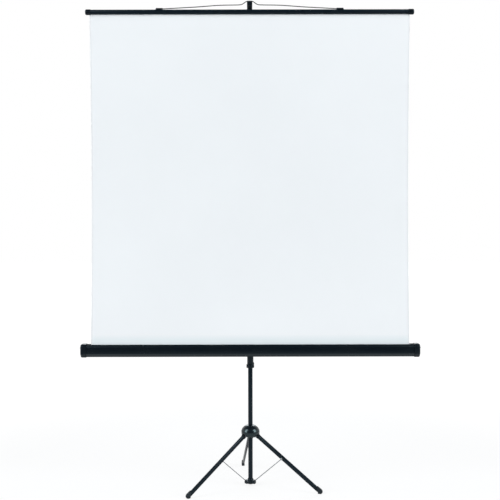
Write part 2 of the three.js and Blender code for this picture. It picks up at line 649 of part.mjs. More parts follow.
function makeClamp(prefix, bottom) {
  const pinReach = SLEEVE_R + RUN + LEVER_HUB_R;
  const pinX = pinReach * Math.cos(rad(LEVER_PIN_ANGLE));
  const pinY = pinReach * Math.sin(rad(LEVER_PIN_ANGLE));
  const leverBottom = (COLLAR_HEIGHT - LEVER_HEIGHT) / 2;
  const leverTop = leverBottom + LEVER_HEIGHT;
  const pinHole = rod(PIN_R + GAP, -PAST, COLLAR_HEIGHT + PAST, 12).translate(pinX, pinY, 0);
  const ear = rod(LEVER_HUB_R, 0, COLLAR_HEIGHT, 16).translate(pinX, pinY, 0);
  const room = rod(LEVER_HUB_R + RUN, leverBottom - GAP, leverTop + GAP, 16).translate(pinX, pinY, 0);
  const band = turned([
    [CARRIAGE_R + GAP, 0],
    [COLLAR_R - EDGE, 0],
    [COLLAR_R, EDGE],
    [COLLAR_R, COLLAR_HEIGHT - EDGE],
    [COLLAR_R - EDGE, COLLAR_HEIGHT],
    [CARRIAGE_R + GAP, COLLAR_HEIGHT],
    [CARRIAGE_R + GAP, 0],
  ]);
  const bore = rod(CARRIAGE_R + GAP, -PAST, COLLAR_HEIGHT + PAST);
  const collar = cut(join(band, ear), room, pinHole, bore);
  const armInner = COLLAR_R + LEVER_ROOM;
  const armOuter = armInner + LEVER_THICKNESS;
  const sweep = [
    ...arc(0, 0, armOuter, armOuter, LEVER_PIN_ANGLE, LEVER_END_ANGLE, 8),
    ...arc(0, 0, armInner, armInner, LEVER_END_ANGLE, LEVER_PIN_ANGLE, 8),
  ];
  const thumbReach = armInner + THUMB_R - GAP;
  const thumbAngle = rad(LEVER_END_ANGLE);
  const thumb = disc(THUMB_R, thumbReach * Math.cos(thumbAngle), thumbReach * Math.sin(thumbAngle));
  const arm = join(
    rod(LEVER_HUB_R, leverBottom, leverTop, 16).translate(pinX, pinY, 0),
    alongZ(polygon(sweep), leverBottom, leverTop),
    alongZ(thumb, leverBottom, leverTop, 6),
  );
  const headUnder = COLLAR_HEIGHT + GAP;
  const pin = turned([
    [0, GAP],
    [PIN_R, GAP],
    [PIN_R, headUnder],
    [LEVER_HUB_R, headUnder],
    [LEVER_HUB_R, headUnder + KNOB_HEIGHT - KNOB_EDGE],
    [LEVER_HUB_R - KNOB_EDGE, headUnder + KNOB_HEIGHT],
    [0, headUnder + KNOB_HEIGHT],
  ], 16).translate(pinX, pinY, 0);
  const clamp = group(
    piece(`${prefix}_collar`, collar, BLACK_PLASTIC),
    piece(`${prefix}_lever`, cut(arm, pinHole), BLACK_PLASTIC),
    piece(`${prefix}_pin`, pin, BLACK_PAINT),
  );
  clamp.position.z = bottom;
  return clamp;
}

// Carriage: the tube that slides on the post, with its bushes, sleeve, handle and clamps

function makeCarriage() {
  const inner = CARRIAGE_R - CARRIAGE_WALL;
  const tube = ring(inner, CARRIAGE_R, CARRIAGE_BOTTOM, CARRIAGE_TOP);
  return group(
    piece('carriage_tube', tube, BLACK_PAINT),
    piece('clamp_bush', makeBush(POST_R, CARRIAGE_BOTTOM, -1), BLACK_PLASTIC),
    piece('mast_bush', makeBush(ROD_R, CARRIAGE_TOP, 1), BLACK_PLASTIC),
    piece('carriage_sleeve', makeSleeve(), BLACK_PLASTIC),
    piece('carry_handle', makeHandle(), BLACK_PLASTIC),
    makeClamp('clamp', COLLAR_BOTTOM),
    makeClamp('mast', MAST_COLLAR_BOTTOM),
  );
}

// Flanged bush in one end of the carriage tube, round a tube that slides in it
function makeBush(bore, tubeEnd, side) {
  const inner = bore + RUN;
  const outer = CARRIAGE_R - CARRIAGE_WALL - GAP;
  const profile = [
    [inner, -BUSH_LENGTH],
    [outer, -BUSH_LENGTH],
    [outer, GAP],
    [CARRIAGE_R, GAP],
    [CARRIAGE_R, FLANGE],
    [inner, FLANGE],
    [inner, -BUSH_LENGTH],
  ];
  const bush = turned(profile);
  if (side < 0) bush.rotateX(Math.PI);
  return bush.translate(0, 0, tubeEnd);
}

// Moulded sleeve with the pad that the case is bolted to
function makeSleeve() {
  const top = SLEEVE_BOTTOM + SLEEVE_LENGTH;
  const padFront = -SLEEVE_R - PAD_THICKNESS;
  const body = turned([
    [CARRIAGE_R + GAP, SLEEVE_BOTTOM],
    [SLEEVE_R, SLEEVE_BOTTOM],
    [SLEEVE_R, top - EDGE],
    [SLEEVE_R - EDGE, top],
    [CARRIAGE_R + GAP, top],
    [CARRIAGE_R + GAP, SLEEVE_BOTTOM],
  ]);
  const padShape = roundedRectangle(2 * (SLEEVE_R + PAD_SIDE), CASE_HEIGHT - 2 * PAD_SIDE, PAD_CORNER);
  const pad = alongY(padShape, padFront, -CARRIAGE_R / 2, 4).translate(0, 0, CASE_CENTRE_Z);
  const bore = rod(CARRIAGE_R + GAP, SLEEVE_BOTTOM - PAST, top + PAST);
  const boltHole = alongY(disc(BOLT_R + GAP), padFront - PAST, 0).translate(0, 0, CASE_CENTRE_Z);
  return cut(join(body, pad), bore, boltHole);
}

// Bow handle behind the sleeve
function makeHandle() {
  const bottom = CASE_CENTRE_Z - HANDLE_BELOW_CENTRE;
  const top = bottom + HANDLE_HEIGHT;
  const cornerY = SLEEVE_R + HANDLE_REACH - HANDLE_CORNER;
  const outer = new THREE.Shape();
  outer.moveTo(0, bottom);
  outer.lineTo(cornerY, bottom);
  outer.absarc(cornerY, bottom + HANDLE_CORNER, HANDLE_CORNER, -Math.PI / 2, 0);
  outer.absarc(cornerY, top - HANDLE_CORNER, HANDLE_CORNER, 0, Math.PI / 2);
  outer.lineTo(0, top);
  outer.lineTo(0, top - HANDLE_THICKNESS);
  const inside = HANDLE_INNER_CORNER;
  const gripY = SLEEVE_R + HANDLE_REACH - HANDLE_THICKNESS;
  outer.lineTo(gripY - inside, top - HANDLE_THICKNESS);
  outer.absarc(gripY - inside, top - HANDLE_THICKNESS - inside, inside, Math.PI / 2, 0, true);
  outer.absarc(gripY - inside, bottom + HANDLE_THICKNESS + inside, inside, 0, -Math.PI / 2, true);
  outer.lineTo(0, bottom + HANDLE_THICKNESS);
  const bow = alongX(outer, -HANDLE_WIDTH / 2, HANDLE_WIDTH / 2, 6);
  return cut(bow, rod(SLEEVE_R + GAP, bottom - PAST, top + PAST));
}

// Case section, seen from +X with u along +Y and v along +Z, counter-clockwise from the lower front edge

function caseOutline() {
  const front = CASE_Y - CASE_DEPTH / 2;
  const back = CASE_Y + CASE_DEPTH / 2;
  const bottom = CASE_CENTRE_Z - CASE_HEIGHT / 2;
  const { depth, height } = CASE_CHAMFER;
  return [
    [front + CASE_FRONT_CHAMFER.depth, bottom],
    [back - depth, bottom],
    [back, bottom + height],
    [back, CASE_TOP_Z - height],
    [back - depth, CASE_TOP_Z],
    [front + depth, CASE_TOP_Z],
    [front, CASE_TOP_Z - height],
    [front, bottom + CASE_FRONT_CHAMFER.height],
  ];
}

// Folded sheet shell, open along the top slot, with a lip turned in on each side of it
function makeCaseShell() {
  const outline = caseOutline();
  const lining = inset(outline, CASE_WALL);
  const TOP_BACK = 4; // index of the outline's upper back corner; the next point is the upper front one
  const slotBack = FABRIC_Y + SLOT_BACK;
  const slotFront = FABRIC_Y - SLOT_FRONT;
  const lipZ = CASE_TOP_Z - SLOT_LIP;
  const innerTop = CASE_TOP_Z - CASE_WALL;
  const frontToBack = (points) => [...points.slice(TOP_BACK + 1), ...points.slice(0, TOP_BACK + 1)];
  const section = polygon([
    [slotFront, CASE_TOP_Z],
    ...frontToBack(outline),
    [slotBack, CASE_TOP_Z],
    [slotBack, lipZ],
    [slotBack + CASE_WALL, lipZ],
    [slotBack + CASE_WALL, innerTop],
    ...frontToBack(lining).reverse(),
    [slotFront - CASE_WALL, innerTop],
    [slotFront - CASE_WALL, lipZ],
    [slotFront, lipZ],
  ]);
  const hole = disc(BOLT_R + GAP, 0, CASE_CENTRE_Z);
  const boltHole = alongY(hole, CASE_BACK_Y - 2 * CASE_WALL, CASE_BACK_Y + PAST);
  return cut(alongX(section, -SHELL_LENGTH / 2, SHELL_LENGTH / 2), boltHole);
}

// Moulded end cap with a domed end. side is -1 at the left and 1 at the right
function makeEndCap(side) {
  const core = polygon(inset(caseOutline(), CAP_ROUNDING - CAP_MARGIN));
  const body = new THREE.ExtrudeGeometry(core, {
    depth: CAP_LENGTH,
    bevelThickness: CAP_ROUNDING,
    bevelSize: CAP_ROUNDING,
    bevelSegments: 4,
  });
  body.applyMatrix4(TO_YZ_ALONG_X).translate(CAP_INNER_X - CAP_ROUNDING, 0, 0);
  const inside = new THREE.BoxGeometry(2 * CAP_LENGTH, 2 * CASE_DEPTH, 2 * CASE_HEIGHT);
  inside.translate(CAP_INNER_X - CAP_LENGTH, CASE_Y, CASE_CENTRE_Z);
  const seat = alongX(polygon(inset(caseOutline(), -GAP)), CAP_INNER_X - PAST, CAP_INNER_X + CAP_SEAT + GAP);
  const cap = cut(body, inside, seat);
  if (side < 0) mirrorX(cap);
  return cap;
}

function mirrorX(geometry) {
  geometry.scale(-1, 1, 1);
  const index = geometry.index.array;
  for (let i = 0; i < index.length; i += 3) {
    [index[i + 1], index[i + 2]] = [index[i + 2], index[i + 1]];
  }
  return geometry;
}

const atRoller = (geometry) => geometry.translate(0, ROLLER_Y, CASE_CENTRE_Z);

function makeBracket(side) {
  const outline = polygon(inset(caseOutline(), CASE_WALL + GAP));
  const near = SCREEN_WIDTH / 2 + BRACKET_OFFSET;
  const far = near + BRACKET_THICKNESS;
  const plate = side < 0 ? alongX(outline, -far, -near) : alongX(outline, near, far);
  const reach = 2 * BRACKET_THICKNESS;
  const shaftHole = atRoller(alongX(disc(SHAFT_R + GAP), side * near - reach, side * near + reach));
  const slotMiddle = FABRIC_Y + (SLOT_BACK - SLOT_FRONT) / 2;
  const lipWidth = SLOT_FRONT + SLOT_BACK + 2 * (CASE_WALL + GAP);
  const lips = new THREE.BoxGeometry(2 * reach, lipWidth, 2 * SLOT_LIP);
  return cut(plate, shaftHole, lips.translate(side * near, slotMiddle, CASE_TOP_Z - CASE_WALL));
}

function makeCase() {
  const plateY = CASE_BACK_Y + GAP;
  const plateHeight = CASE_HEIGHT - 2 * CASE_CHAMFER.height;
  const plate = cut(
    alongY(roundedRectangle(PLATE_LENGTH, plateHeight, PLATE_CORNER), plateY, plateY + PLATE_THICKNESS, 4),
    alongY(disc(BOLT_R + GAP), plateY - PAST, plateY + PLATE_THICKNESS + PAST),
  ).translate(0, 0, CASE_CENTRE_Z);
  const headBack = CASE_BACK_Y - CASE_WALL - GAP;
  const bolt = join(
    alongY(disc(BOLT_HEAD_R), headBack - BOLT_HEAD, headBack, 10),
    alongY(disc(BOLT_R), headBack - PAST, -CARRIAGE_R - 2 * GAP, 10),
  ).translate(0, 0, CASE_CENTRE_Z);
  return group(
    piece('case_shell', makeCaseShell(), BLACK_PAINT),
    piece('end_cap_left', makeEndCap(-1), BLACK_PLASTIC),
    piece('end_cap_right', makeEndCap(1), BLACK_PLASTIC),
    piece('roller_bracket_left', makeBracket(-1), STEEL),
    piece('roller_bracket_right', makeBracket(1), STEEL),
    piece('case_plate', plate, BLACK_PAINT),
    piece('pivot_bolt', bolt, STEEL),
  );
}

// Spring roller

function makeRoller() {
  const half = SCREEN_WIDTH / 2;
  const tubeEnd = half + ROLLER_OVERHANG;
  const bore = ROLLER_R - ROLLER_WALL;
  const flangeEnd = tubeEnd + GAP + PLUG_FLANGE;
  const pinEnd = half + BRACKET_OFFSET + BRACKET_THICKNESS + SHAFT_END;
  const plugProfile = (core) => [
    [core, tubeEnd - PLUG_DEPTH],
    [bore - GAP, tubeEnd - PLUG_DEPTH],
    [bore - GAP, tubeEnd + GAP],
    [ROLLER_R, tubeEnd + GAP],
    [ROLLER_R, flangeEnd],
  ];
  const free = [...plugProfile(0), [SHAFT_R, flangeEnd], [SHAFT_R, pinEnd], [0, pinEnd]];
  const sprung = [
    ...plugProfile(SHAFT_R + RUN),
    [SHAFT_R + RUN, flangeEnd],
    [SHAFT_R + RUN, tubeEnd - PLUG_DEPTH],
  ];
  const shaftInner = -tubeEnd + SHAFT_REACH;
  const collarR = SPRING_R * Math.cos(Math.PI / SPRING_STEPS) - SPRING_WIRE_R - GAP;
  const shaft = turned([
    [0, -pinEnd],
    [SHAFT_R, -pinEnd],
    [SHAFT_R, shaftInner - SHAFT_COLLAR],
    [collarR, shaftInner - SHAFT_COLLAR],
    [collarR, shaftInner],
    [0, shaftInner],
  ]);
  return group(
    piece('roller_tube', atRoller(layAlongX(ring(bore, ROLLER_R, -tubeEnd, tubeEnd))), STEEL),
    piece('roller_plug_left', atRoller(layAlongX(turned(sprung).rotateX(Math.PI))), BLACK_PLASTIC),
    piece('roller_plug_right', atRoller(layAlongX(turned(free))), BLACK_PLASTIC),
    piece('fabric_roll', atRoller(layAlongX(ring(ROLLER_R + GAP, ROLL_R, -half, half))), MATTE_WHITE),
    piece('spring_shaft', atRoller(layAlongX(shaft)), STEEL),
    piece('roller_spring', atRoller(makeSpring(-tubeEnd + PLUG_DEPTH + GAP, shaftInner - 1)), STEEL),
  );
}

// Torsion spring round the shaft, along X from the left plug to the collar at the shaft's end
class SpringCurve extends THREE.Curve {
  constructor(start, end) {
    super();
    this.start = start;
    this.end = end;
    this.straight = 2 * SPRING_WIRE_R;
  }

  getPoint(t, target = new THREE.Vector3()) {
    const length = this.end - this.start;
    const lead = this.straight / length;
    const coil = THREE.MathUtils.clamp((t - lead) / (1 - 2 * lead), 0, 1);
    const angle = coil * SPRING_TURNS * 2 * Math.PI;
    return target.set(this.start + t * length, SPRING_R * Math.cos(angle), SPRING_R * Math.sin(angle));
  }
}

function makeSpring(start, end) {
  const curve = new SpringCurve(start, end);
  const steps = SPRING_TURNS * SPRING_STEPS;
  const section = polygon(arc(0, 0, SPRING_WIRE_R, SPRING_WIRE_R, 0, 288, 4));
  const points = curve.getSpacedPoints(steps);
  const apart = 6; // steps past which two points lie on different parts of a turn
  let least = Infinity;
  points.forEach((point, i) => {
    points.slice(i + apart).forEach((other) => {
      least = Math.min(least, point.distanceTo(other) - 2 * SPRING_WIRE_R);
    });
  });
  console.log(`roller_spring: least gap to itself ${least.toFixed(2)} mm`);
  return new THREE.ExtrudeGeometry(section, { steps, extrudePath: curve });
}

// Fabric, top bar and bail

function makeScreen() {
  const fabricBottom = CASE_CENTRE_Z;
  const fabricTop = BAR_Z - BAR_R / 3;
  const height = fabricTop - fabricBottom;
  const fabric = new THREE.BoxGeometry(SCREEN_WIDTH, FABRIC_THICKNESS, height);
  fabric.translate(0, FABRIC_Y, fabricBottom + height / 2);
  const barTubeEnd = BAR_END_X - BAR_CAP_LENGTH + BAR_CAP_SEAT;
  const bar = group(
    piece('top_bar', alongX(barSection(), -barTubeEnd, barTubeEnd), BLACK_PAINT),
    piece('bar_cap_left', mirrorX(makeBarCap(barTubeEnd)), BLACK_PLASTIC),
    piece('bar_cap_right', makeBarCap(barTubeEnd), BLACK_PLASTIC),
    piece('bail_socket_left', makeSocket(-BAIL_SPAN / 2), BLACK_PLASTIC),
    piece('bail_socket_right', makeSocket(BAIL_SPAN / 2), BLACK_PLASTIC),
  );
  bar.position.set(0, FABRIC_Y, BAR_Z);
  return group(piece('screen_fabric', fabric, MATTE_WHITE), bar, piece('bail', makeBail(), DARK_WIRE));
}

// Round tube with a narrow slot underneath, which the fabric's top edge goes into
function barSection() {
  const inner = BAR_R - BAR_WALL;
  const open = THREE.MathUtils.radToDeg(Math.asin(BAR_SLOT_HALF / inner));
  const outside = arc(0, 0, BAR_R, BAR_R, -90 + open, 270 - open, SEGMENTS);
  const inside = arc(0, 0, inner, inner, 270 - open, -90 + open, SEGMENTS);
  return polygon([...outside, ...inside]);
}

function makeBarCap(barTubeEnd) {
  const start = BAR_END_X - BAR_CAP_LENGTH;
  const corner = BAR_CAP_ROUNDING;
  const round = arc(BAR_CAP_R - corner, BAR_END_X - corner, corner, corner, 0, 90, 3);
  const pocket = BAR_R + GAP;
  const cap = layAlongX(turned([
    [0, barTubeEnd + GAP],
    [pocket, barTubeEnd + GAP],
    [pocket, start],
    [BAR_CAP_R - EDGE, start],
    [BAR_CAP_R, start + EDGE],
    ...round,
    [0, BAR_END_X],
  ]));
  const edge = SCREEN_WIDTH / 2 + EDGE;
  const slit = new THREE.BoxGeometry(2 * (edge - start), 2 * BAR_SLOT_HALF, 2 * BAR_CAP_R);
  return cut(cap, slit.translate(start, 0, -BAR_CAP_R));
}

// Saddle on the bar, with a bore for the bail's end
function makeSocket(x) {
  const half = SOCKET_LENGTH / 2;
  const boreZ = BAR_R + SOCKET_LIFT;
  const saddleR = BAR_R + GAP + SOCKET_WALL;
  const saddleTop = arc(0, 0, saddleR, saddleR, 90 - SADDLE_ANGLE, 90 + SADDLE_ANGLE, 10);
  const saddle = polygon([...saddleTop, [0, BAR_R / 2]]);
  const boss = disc(BAIL_WIRE_R + GAP + BORE_WALL, 0, boreZ);
  const bore = disc(BAIL_WIRE_R + GAP, 0, boreZ);
  const solid = cut(
    join(alongX(saddle, -half, half), alongX(boss, -half + EDGE, half - EDGE, 8)),
    alongX(disc(BAR_R + GAP), -half - PAST, half + PAST, 16),
    alongX(bore, -half - PAST, half + PAST, 6),
  );
  return solid.translate(x, 0, 0);
}

// Wire bail: an end in each socket, two low arms, and a raised middle that lies on the hook's seat
function makeBail() {
  const halfSpan = BAIL_SPAN / 2;
  const socketIn = halfSpan - SOCKET_LENGTH / 2;
  const seatHalf = HEAD_WIDTH / 2 + BAIL_SIDE;
  const shoulderX = seatHalf + BAIL_RISE - BAIL_SHOULDER + BAIL_EASE;
  const lean = BAIL_LEAN / BAIL_RISE;
  const at = (x, rise) => new THREE.Vector3(x, FABRIC_Y + rise * lean, SOCKET_Z + rise);
  const rightHalf = [
    at(seatHalf - BAIL_EASE / 2, BAIL_RISE),
    at(seatHalf + BAIL_EASE / 2, BAIL_RISE - BAIL_EASE / 2),
    at(shoulderX - BAIL_EASE, BAIL_SHOULDER + BAIL_EASE / 2),
    at(shoulderX + BAIL_EASE, BAIL_SHOULDER),
    at(socketIn - BAIL_HIGH_BEND, BAIL_SHOULDER - BAIL_DIP),
    at(socketIn - BAIL_LOW_BEND, BAIL_SHOULDER - BAIL_SLOPE),
    at(socketIn - 4 * BAIL_EASE, EDGE),
    at(socketIn, 0),
    at(halfSpan + SOCKET_LENGTH / 2 - BAIL_EASE, 0),
  ];
  const leftHalf = rightHalf.map((point) => new THREE.Vector3(-point.x, point.y, point.z)).reverse();
  const path = new THREE.CatmullRomCurve3([...leftHalf, ...rightHalf], false, 'centripetal');
  const section = polygon(arc(0, 0, BAIL_WIRE_R, BAIL_WIRE_R, 0, 300, 5));
  return new THREE.ExtrudeGeometry(section, { steps: BAIL_STEPS, extrudePath: path });
}

// Mast rod and the head that the bail hangs on

function makeMast() {
  const inner = ROD_R - ROD_WALL;
  const tube = ring(inner, ROD_R, ROD_BOTTOM, ROD_TOP);
  const footR = POST_R - POST_WALL - GAP;
  const foot = turned([
    [0, ROD_BOTTOM - ROD_FOOT_LENGTH],
    [footR - EDGE, ROD_BOTTOM - ROD_FOOT_LENGTH],
    [footR, ROD_BOTTOM - ROD_FOOT_LENGTH + EDGE],
    [footR, ROD_BOTTOM - GAP],
    [inner - GAP, ROD_BOTTOM - GAP],
    [inner - GAP, ROD_BOTTOM + ROD_FOOT_INSERT],
    [0, ROD_BOTTOM + ROD_FOOT_INSERT],
  ]);
  return group(
    piece('mast_rod', tube, BLACK_PAINT),
    piece('mast_rod_foot', foot, BLACK_PLASTIC),
    piece('mast_head', makeHead(), BLACK_PLASTIC),
  );
}

// Moulded head: a socket over the rod and an arm that reaches forward to the hook's seat
function makeHead() {
  const nose = SEAT_Y - BAIL_WIRE_R - HEAD_LIP;
  const wall = SEAT_Y + BAIL_WIRE_R + GAP;
  const back = ROD_R + HEAD_WALL + GAP;
  const under = HEAD_TOP - HEAD_ARM;
  const side = new THREE.Shape();
  side.moveTo(nose, under + HEAD_NOSE.height);
  side.lineTo(nose + HEAD_NOSE.depth, under);
  side.lineTo(back, under);
  side.absarc(back - HEAD_CORNER, HEAD_TOP - HEAD_CORNER, HEAD_CORNER, 0, Math.PI / 2);
  side.lineTo(wall, HEAD_TOP);
  side.lineTo(wall, SEAT_Z);
  side.lineTo(nose, SEAT_Z);
  const arm = alongX(side, -HEAD_WIDTH / 2, HEAD_WIDTH / 2, 6);
  const socket = rod(ROD_R + HEAD_WALL, under - HEAD_SKIRT, HEAD_TOP - HEAD_CORNER);
  const bore = rod(ROD_R + GAP, under - HEAD_SKIRT - PAST, ROD_TOP + GAP);
  return cut(join(arm, socket), bore);
}

// Assembly, standing on the floor with its box centred on the origin

const assembly = group(
  makePost(),
  makeHub(),
  ...LEG_NAMES.map(makeLeg),
  ...LEG_NAMES.map(makeStrut),
  makeCarriage(),
  makeCase(),
  makeRoller(),
  makeScreen(),
  makeMast(),
);
const box = new THREE.Box3().setFromObject(assembly, true);
const centre = box.getCenter(new THREE.Vector3());
assembly.position.set(-centre.x, -centre.y, -box.min.z);

const screenOnTripod = group(assembly);
screenOnTripod.name = 'tripod_projection_screen';

export default screenOnTripod;
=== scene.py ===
"""Tripod projection screen: the shown pieces, finishes and stage, made round its fixed frame."""

import json
import math
from typing import NamedTuple

import bmesh
import bpy
from bpy.props import FloatProperty, FloatVectorProperty, IntProperty, PointerProperty
from mathutils import Matrix, Vector

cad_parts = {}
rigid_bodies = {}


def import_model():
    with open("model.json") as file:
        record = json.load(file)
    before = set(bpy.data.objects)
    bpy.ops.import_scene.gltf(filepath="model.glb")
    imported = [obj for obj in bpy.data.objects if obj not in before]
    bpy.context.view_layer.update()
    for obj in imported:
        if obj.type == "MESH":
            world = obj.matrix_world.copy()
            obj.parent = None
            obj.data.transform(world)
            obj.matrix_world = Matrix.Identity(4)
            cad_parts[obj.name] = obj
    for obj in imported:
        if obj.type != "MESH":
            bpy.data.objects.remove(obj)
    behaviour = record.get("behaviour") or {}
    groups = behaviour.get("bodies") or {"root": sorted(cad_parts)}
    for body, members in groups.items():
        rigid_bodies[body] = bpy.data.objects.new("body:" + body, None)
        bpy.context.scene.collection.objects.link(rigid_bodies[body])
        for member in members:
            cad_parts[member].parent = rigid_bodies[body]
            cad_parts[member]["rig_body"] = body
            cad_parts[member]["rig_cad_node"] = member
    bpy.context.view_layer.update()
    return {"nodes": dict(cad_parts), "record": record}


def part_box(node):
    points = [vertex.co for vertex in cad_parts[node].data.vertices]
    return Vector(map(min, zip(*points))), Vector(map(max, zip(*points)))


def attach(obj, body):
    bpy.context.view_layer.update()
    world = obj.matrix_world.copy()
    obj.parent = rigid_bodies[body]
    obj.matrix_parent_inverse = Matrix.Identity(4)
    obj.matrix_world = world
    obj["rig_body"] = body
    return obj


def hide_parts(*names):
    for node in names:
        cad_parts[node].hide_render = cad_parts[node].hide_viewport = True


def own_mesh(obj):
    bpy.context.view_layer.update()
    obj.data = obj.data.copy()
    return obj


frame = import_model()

bl_info = {
    "name": "Tripod Projection Screen",
    "version": (1, 0, 0),
    "blender": (4, 5, 0),
    "location": "View3D > Sidebar > Screen",
    "description": "Builds the shown pieces, finishes and stage of a tripod projection screen",
    "category": "Object",
}

NODES = frame["nodes"]
RECORD = frame["record"]
BODY_OF = {
    node: body for body, nodes in RECORD["behaviour"]["bodies"].items() for node in nodes
}
SLOT_OF = {part["node"]: part["material_slot"] for part in RECORD["subparts"]}
LEGS = ("rear", "left", "right")
ENDS = ("left", "right")

# Roundings in metres, finest first, that aren't worth a setting of their own
RIVET_EDGE = 0.0002
PIN_EDGE = 0.0003
FINE_EDGE = 0.0005
SMALL_EDGE = 0.0006
BROAD_EDGE = 0.0012

MERGE = 1e-5  # facets closer than this share their corners
FLAT_ANGLE = 0.3  # degrees within which facets are one face
HARD_ANGLE = 38.0  # degrees beyond which an edge is rounded
PIN_ANGLE = 50.0  # the same for pins and rivets, whose facets stay
SMOOTH_ANGLE = 40.0  # degrees up to which faces shade as one


def middle(node):
    """Centre of a frame piece's box."""
    low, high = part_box(node)
    return (low + high) / 2


POST_AXIS_Y = middle("lower_post").y


# Sizes and colours that a user would change


def length(name, description, default):
    return FloatProperty(
        name=name,
        description=description,
        default=default,
        min=0.0,
        precision=5,
        unit="LENGTH",
    )


def colour(name, description, default):
    return FloatVectorProperty(
        name=name,
        description=description,
        default=default,
        size=3,
        min=0.0,
        max=1.0,
        subtype="COLOR",
    )


class TripodScreenSizes(bpy.types.PropertyGroup):
    """Small sizes that the frame leaves to the looks."""

    edge: length("Moulding edge", "Rounding of hard edges on mouldings", 0.0008)
    tube_edge: length("Tube edge", "Rounding of the cut ends of tubes", 0.0004)
    fold: length("Case fold", "Rounding of the folds of the case", 0.0012)
    grip_edge: length("Grip edge", "Rounding of the carrying handle", 0.0028)
    post_wall: length("Post wall", "Wall of the post and the carriage tube", 0.0015)
    rod_wall: length("Rod wall", "Wall of the mast rod", 0.0012)
    fabric_thickness: length("Fabric thickness", "Thickness of the screen fabric", 0.0006)
    fabric_billow: length("Fabric billow", "How far the fabric bows in its middle", 0.0022)
    fabric_curl: length("Fabric curl", "How far the free side edges curl forward", 0.0035)
    fabric_waist: length(
        "Fabric waist", "How far each side edge draws in at half height", 0.0085
    )
    wire_swell: length(
        "Bail wire swell", "Growth that keeps the rounded bail wire at its gauge", 0.00022
    )
    screw_radius: length("Screw head radius", "Radius of the screw heads", 0.0042)
    screw_height: length("Screw head height", "Height of the screw heads", 0.0024)
    rib_radius: length("Grip rib radius", "Radius of the ribs on the handle", 0.0021)
    rib_count: IntProperty(
        name="Grip ribs", description="Ribs on the carrying handle", default=6, min=1
    )


class TripodScreenColours(bpy.types.PropertyGroup):
    """Colours of the finishes."""

    paint: colour("Paint", "Powder coat of the tubes and legs", (0.0042, 0.0082, 0.0125))
    enamel: colour("Enamel", "Enamel of the case", (0.0014, 0.0032, 0.0056))
    plastic: colour("Moulding", "Black mouldings", (0.003, 0.005, 0.0075))
    gloss: colour("Gloss moulding", "Glossy black hub", (0.0025, 0.0045, 0.007))
    rubber: colour("Rubber", "Feet", (0.005, 0.006, 0.0075))
    zinc: colour("Zinc plate", "Struts", (0.17, 0.176, 0.184))
    steel: colour("Steel", "Rivets, pins, screws and the roller", (0.42, 0.43, 0.45))
    wire: colour("Bail wire", "Dark spring wire", (0.008, 0.0095, 0.0115))
    fabric: colour("Fabric face", "Matte white face of the fabric", (0.862, 0.852, 0.846))
    backing: colour("Fabric back", "Back of the fabric", (0.66, 0.665, 0.675))


def sizes():
    return bpy.context.scene.tripod_screen_sizes


def colours():
    return bpy.context.scene.tripod_screen_colours


# Selection, modifiers and finished copies


def clear_selection():
    """Leaves edit mode and deselects every object."""
    active = bpy.context.view_layer.objects.active
    if active and active.mode != "OBJECT":
        bpy.ops.object.mode_set(mode="OBJECT")
    bpy.ops.object.select_all(action="DESELECT")


def pick(*pieces):
    """Selects these pieces and nothing else; the first is active."""
    clear_selection()
    for piece in pieces:
        piece.select_set(True)
    bpy.context.view_layer.objects.active = pieces[0]


def edit(piece):
    """Opens a piece in edit mode, for faces, with nothing selected."""
    pick(piece)
    bpy.ops.object.mode_set(mode="EDIT")
    bpy.ops.mesh.select_mode(type="FACE")
    bpy.ops.mesh.select_all(action="DESELECT")


def select_faces(piece, wanted):
    """In edit mode, selects the faces whose normal passes a test."""
    mesh = bmesh.from_edit_mesh(piece.data)
    for face in mesh.faces:
        face.select = wanted(face.normal)
    mesh.select_flush_mode()
    bmesh.update_edit_mesh(piece.data)


def named(name):
    """Names the piece that an operator has just made, with its place moved into its mesh."""
    piece = bpy.context.object
    piece.name = piece.data.name = name
    bpy.ops.object.transform_apply(location=True, rotation=True, scale=True)
    return piece


def duplicate(piece):
    """Copies a piece with its own mesh."""
    pick(piece)
    bpy.ops.object.duplicate(linked=False)
    return bpy.context.object


def delete(piece):
    pick(piece)
    bpy.ops.object.delete()


def apply_modifier(piece, kind, **settings):
    modifier = piece.modifiers.new(kind.title(), kind)
    for key, value in settings.items():
        setattr(modifier, key, value)
    pick(piece)
    bpy.ops.object.modifier_apply(modifier=modifier.name)


def round_edges(piece, width, segments=2, over=HARD_ANGLE):
    """Rounds the edges that turn by more than an angle in degrees."""
    apply_modifier(
        piece,
        "BEVEL",
        width=width,
        segments=segments,
        limit_method="ANGLE",
        angle_limit=math.radians(over),
        use_clamp_overlap=True,
    )


def smooth(piece):
    pick(piece)
    bpy.ops.object.shade_smooth_by_angle(angle=math.radians(SMOOTH_ANGLE))


def place(piece, node, finish, replaced=True):
    """Gives a piece its finish and lets it ride with a frame piece, which it may stand for."""
    piece.data.materials.clear()
    piece.data.materials.append(finish_material(finish))
    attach(piece, BODY_OF[node])
    if replaced:
        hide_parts(node)


def finished(node, finish, edge=None, segments=2, over=HARD_ANGLE):
    """Copies a frame piece, joins its facets, rounds its edges and shows the copy in its place."""
    piece = duplicate(NODES[node])
    bpy.ops.object.parent_clear(type="CLEAR_KEEP_TRANSFORM")
    piece.name = piece.data.name = f"{node}_finished"
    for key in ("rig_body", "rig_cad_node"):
        del piece[key]
    edit(piece)
    bpy.ops.mesh.customdata_custom_splitnormals_clear()
    bpy.ops.mesh.select_all(action="SELECT")
    bpy.ops.mesh.remove_doubles(threshold=MERGE)
    bpy.ops.mesh.dissolve_limited(angle_limit=math.radians(FLAT_ANGLE))
    round_edges(piece, edge or sizes().edge, segments, over)
    smooth(piece)
    place(piece, node, finish)
    return piece


# Nodes of the finishes

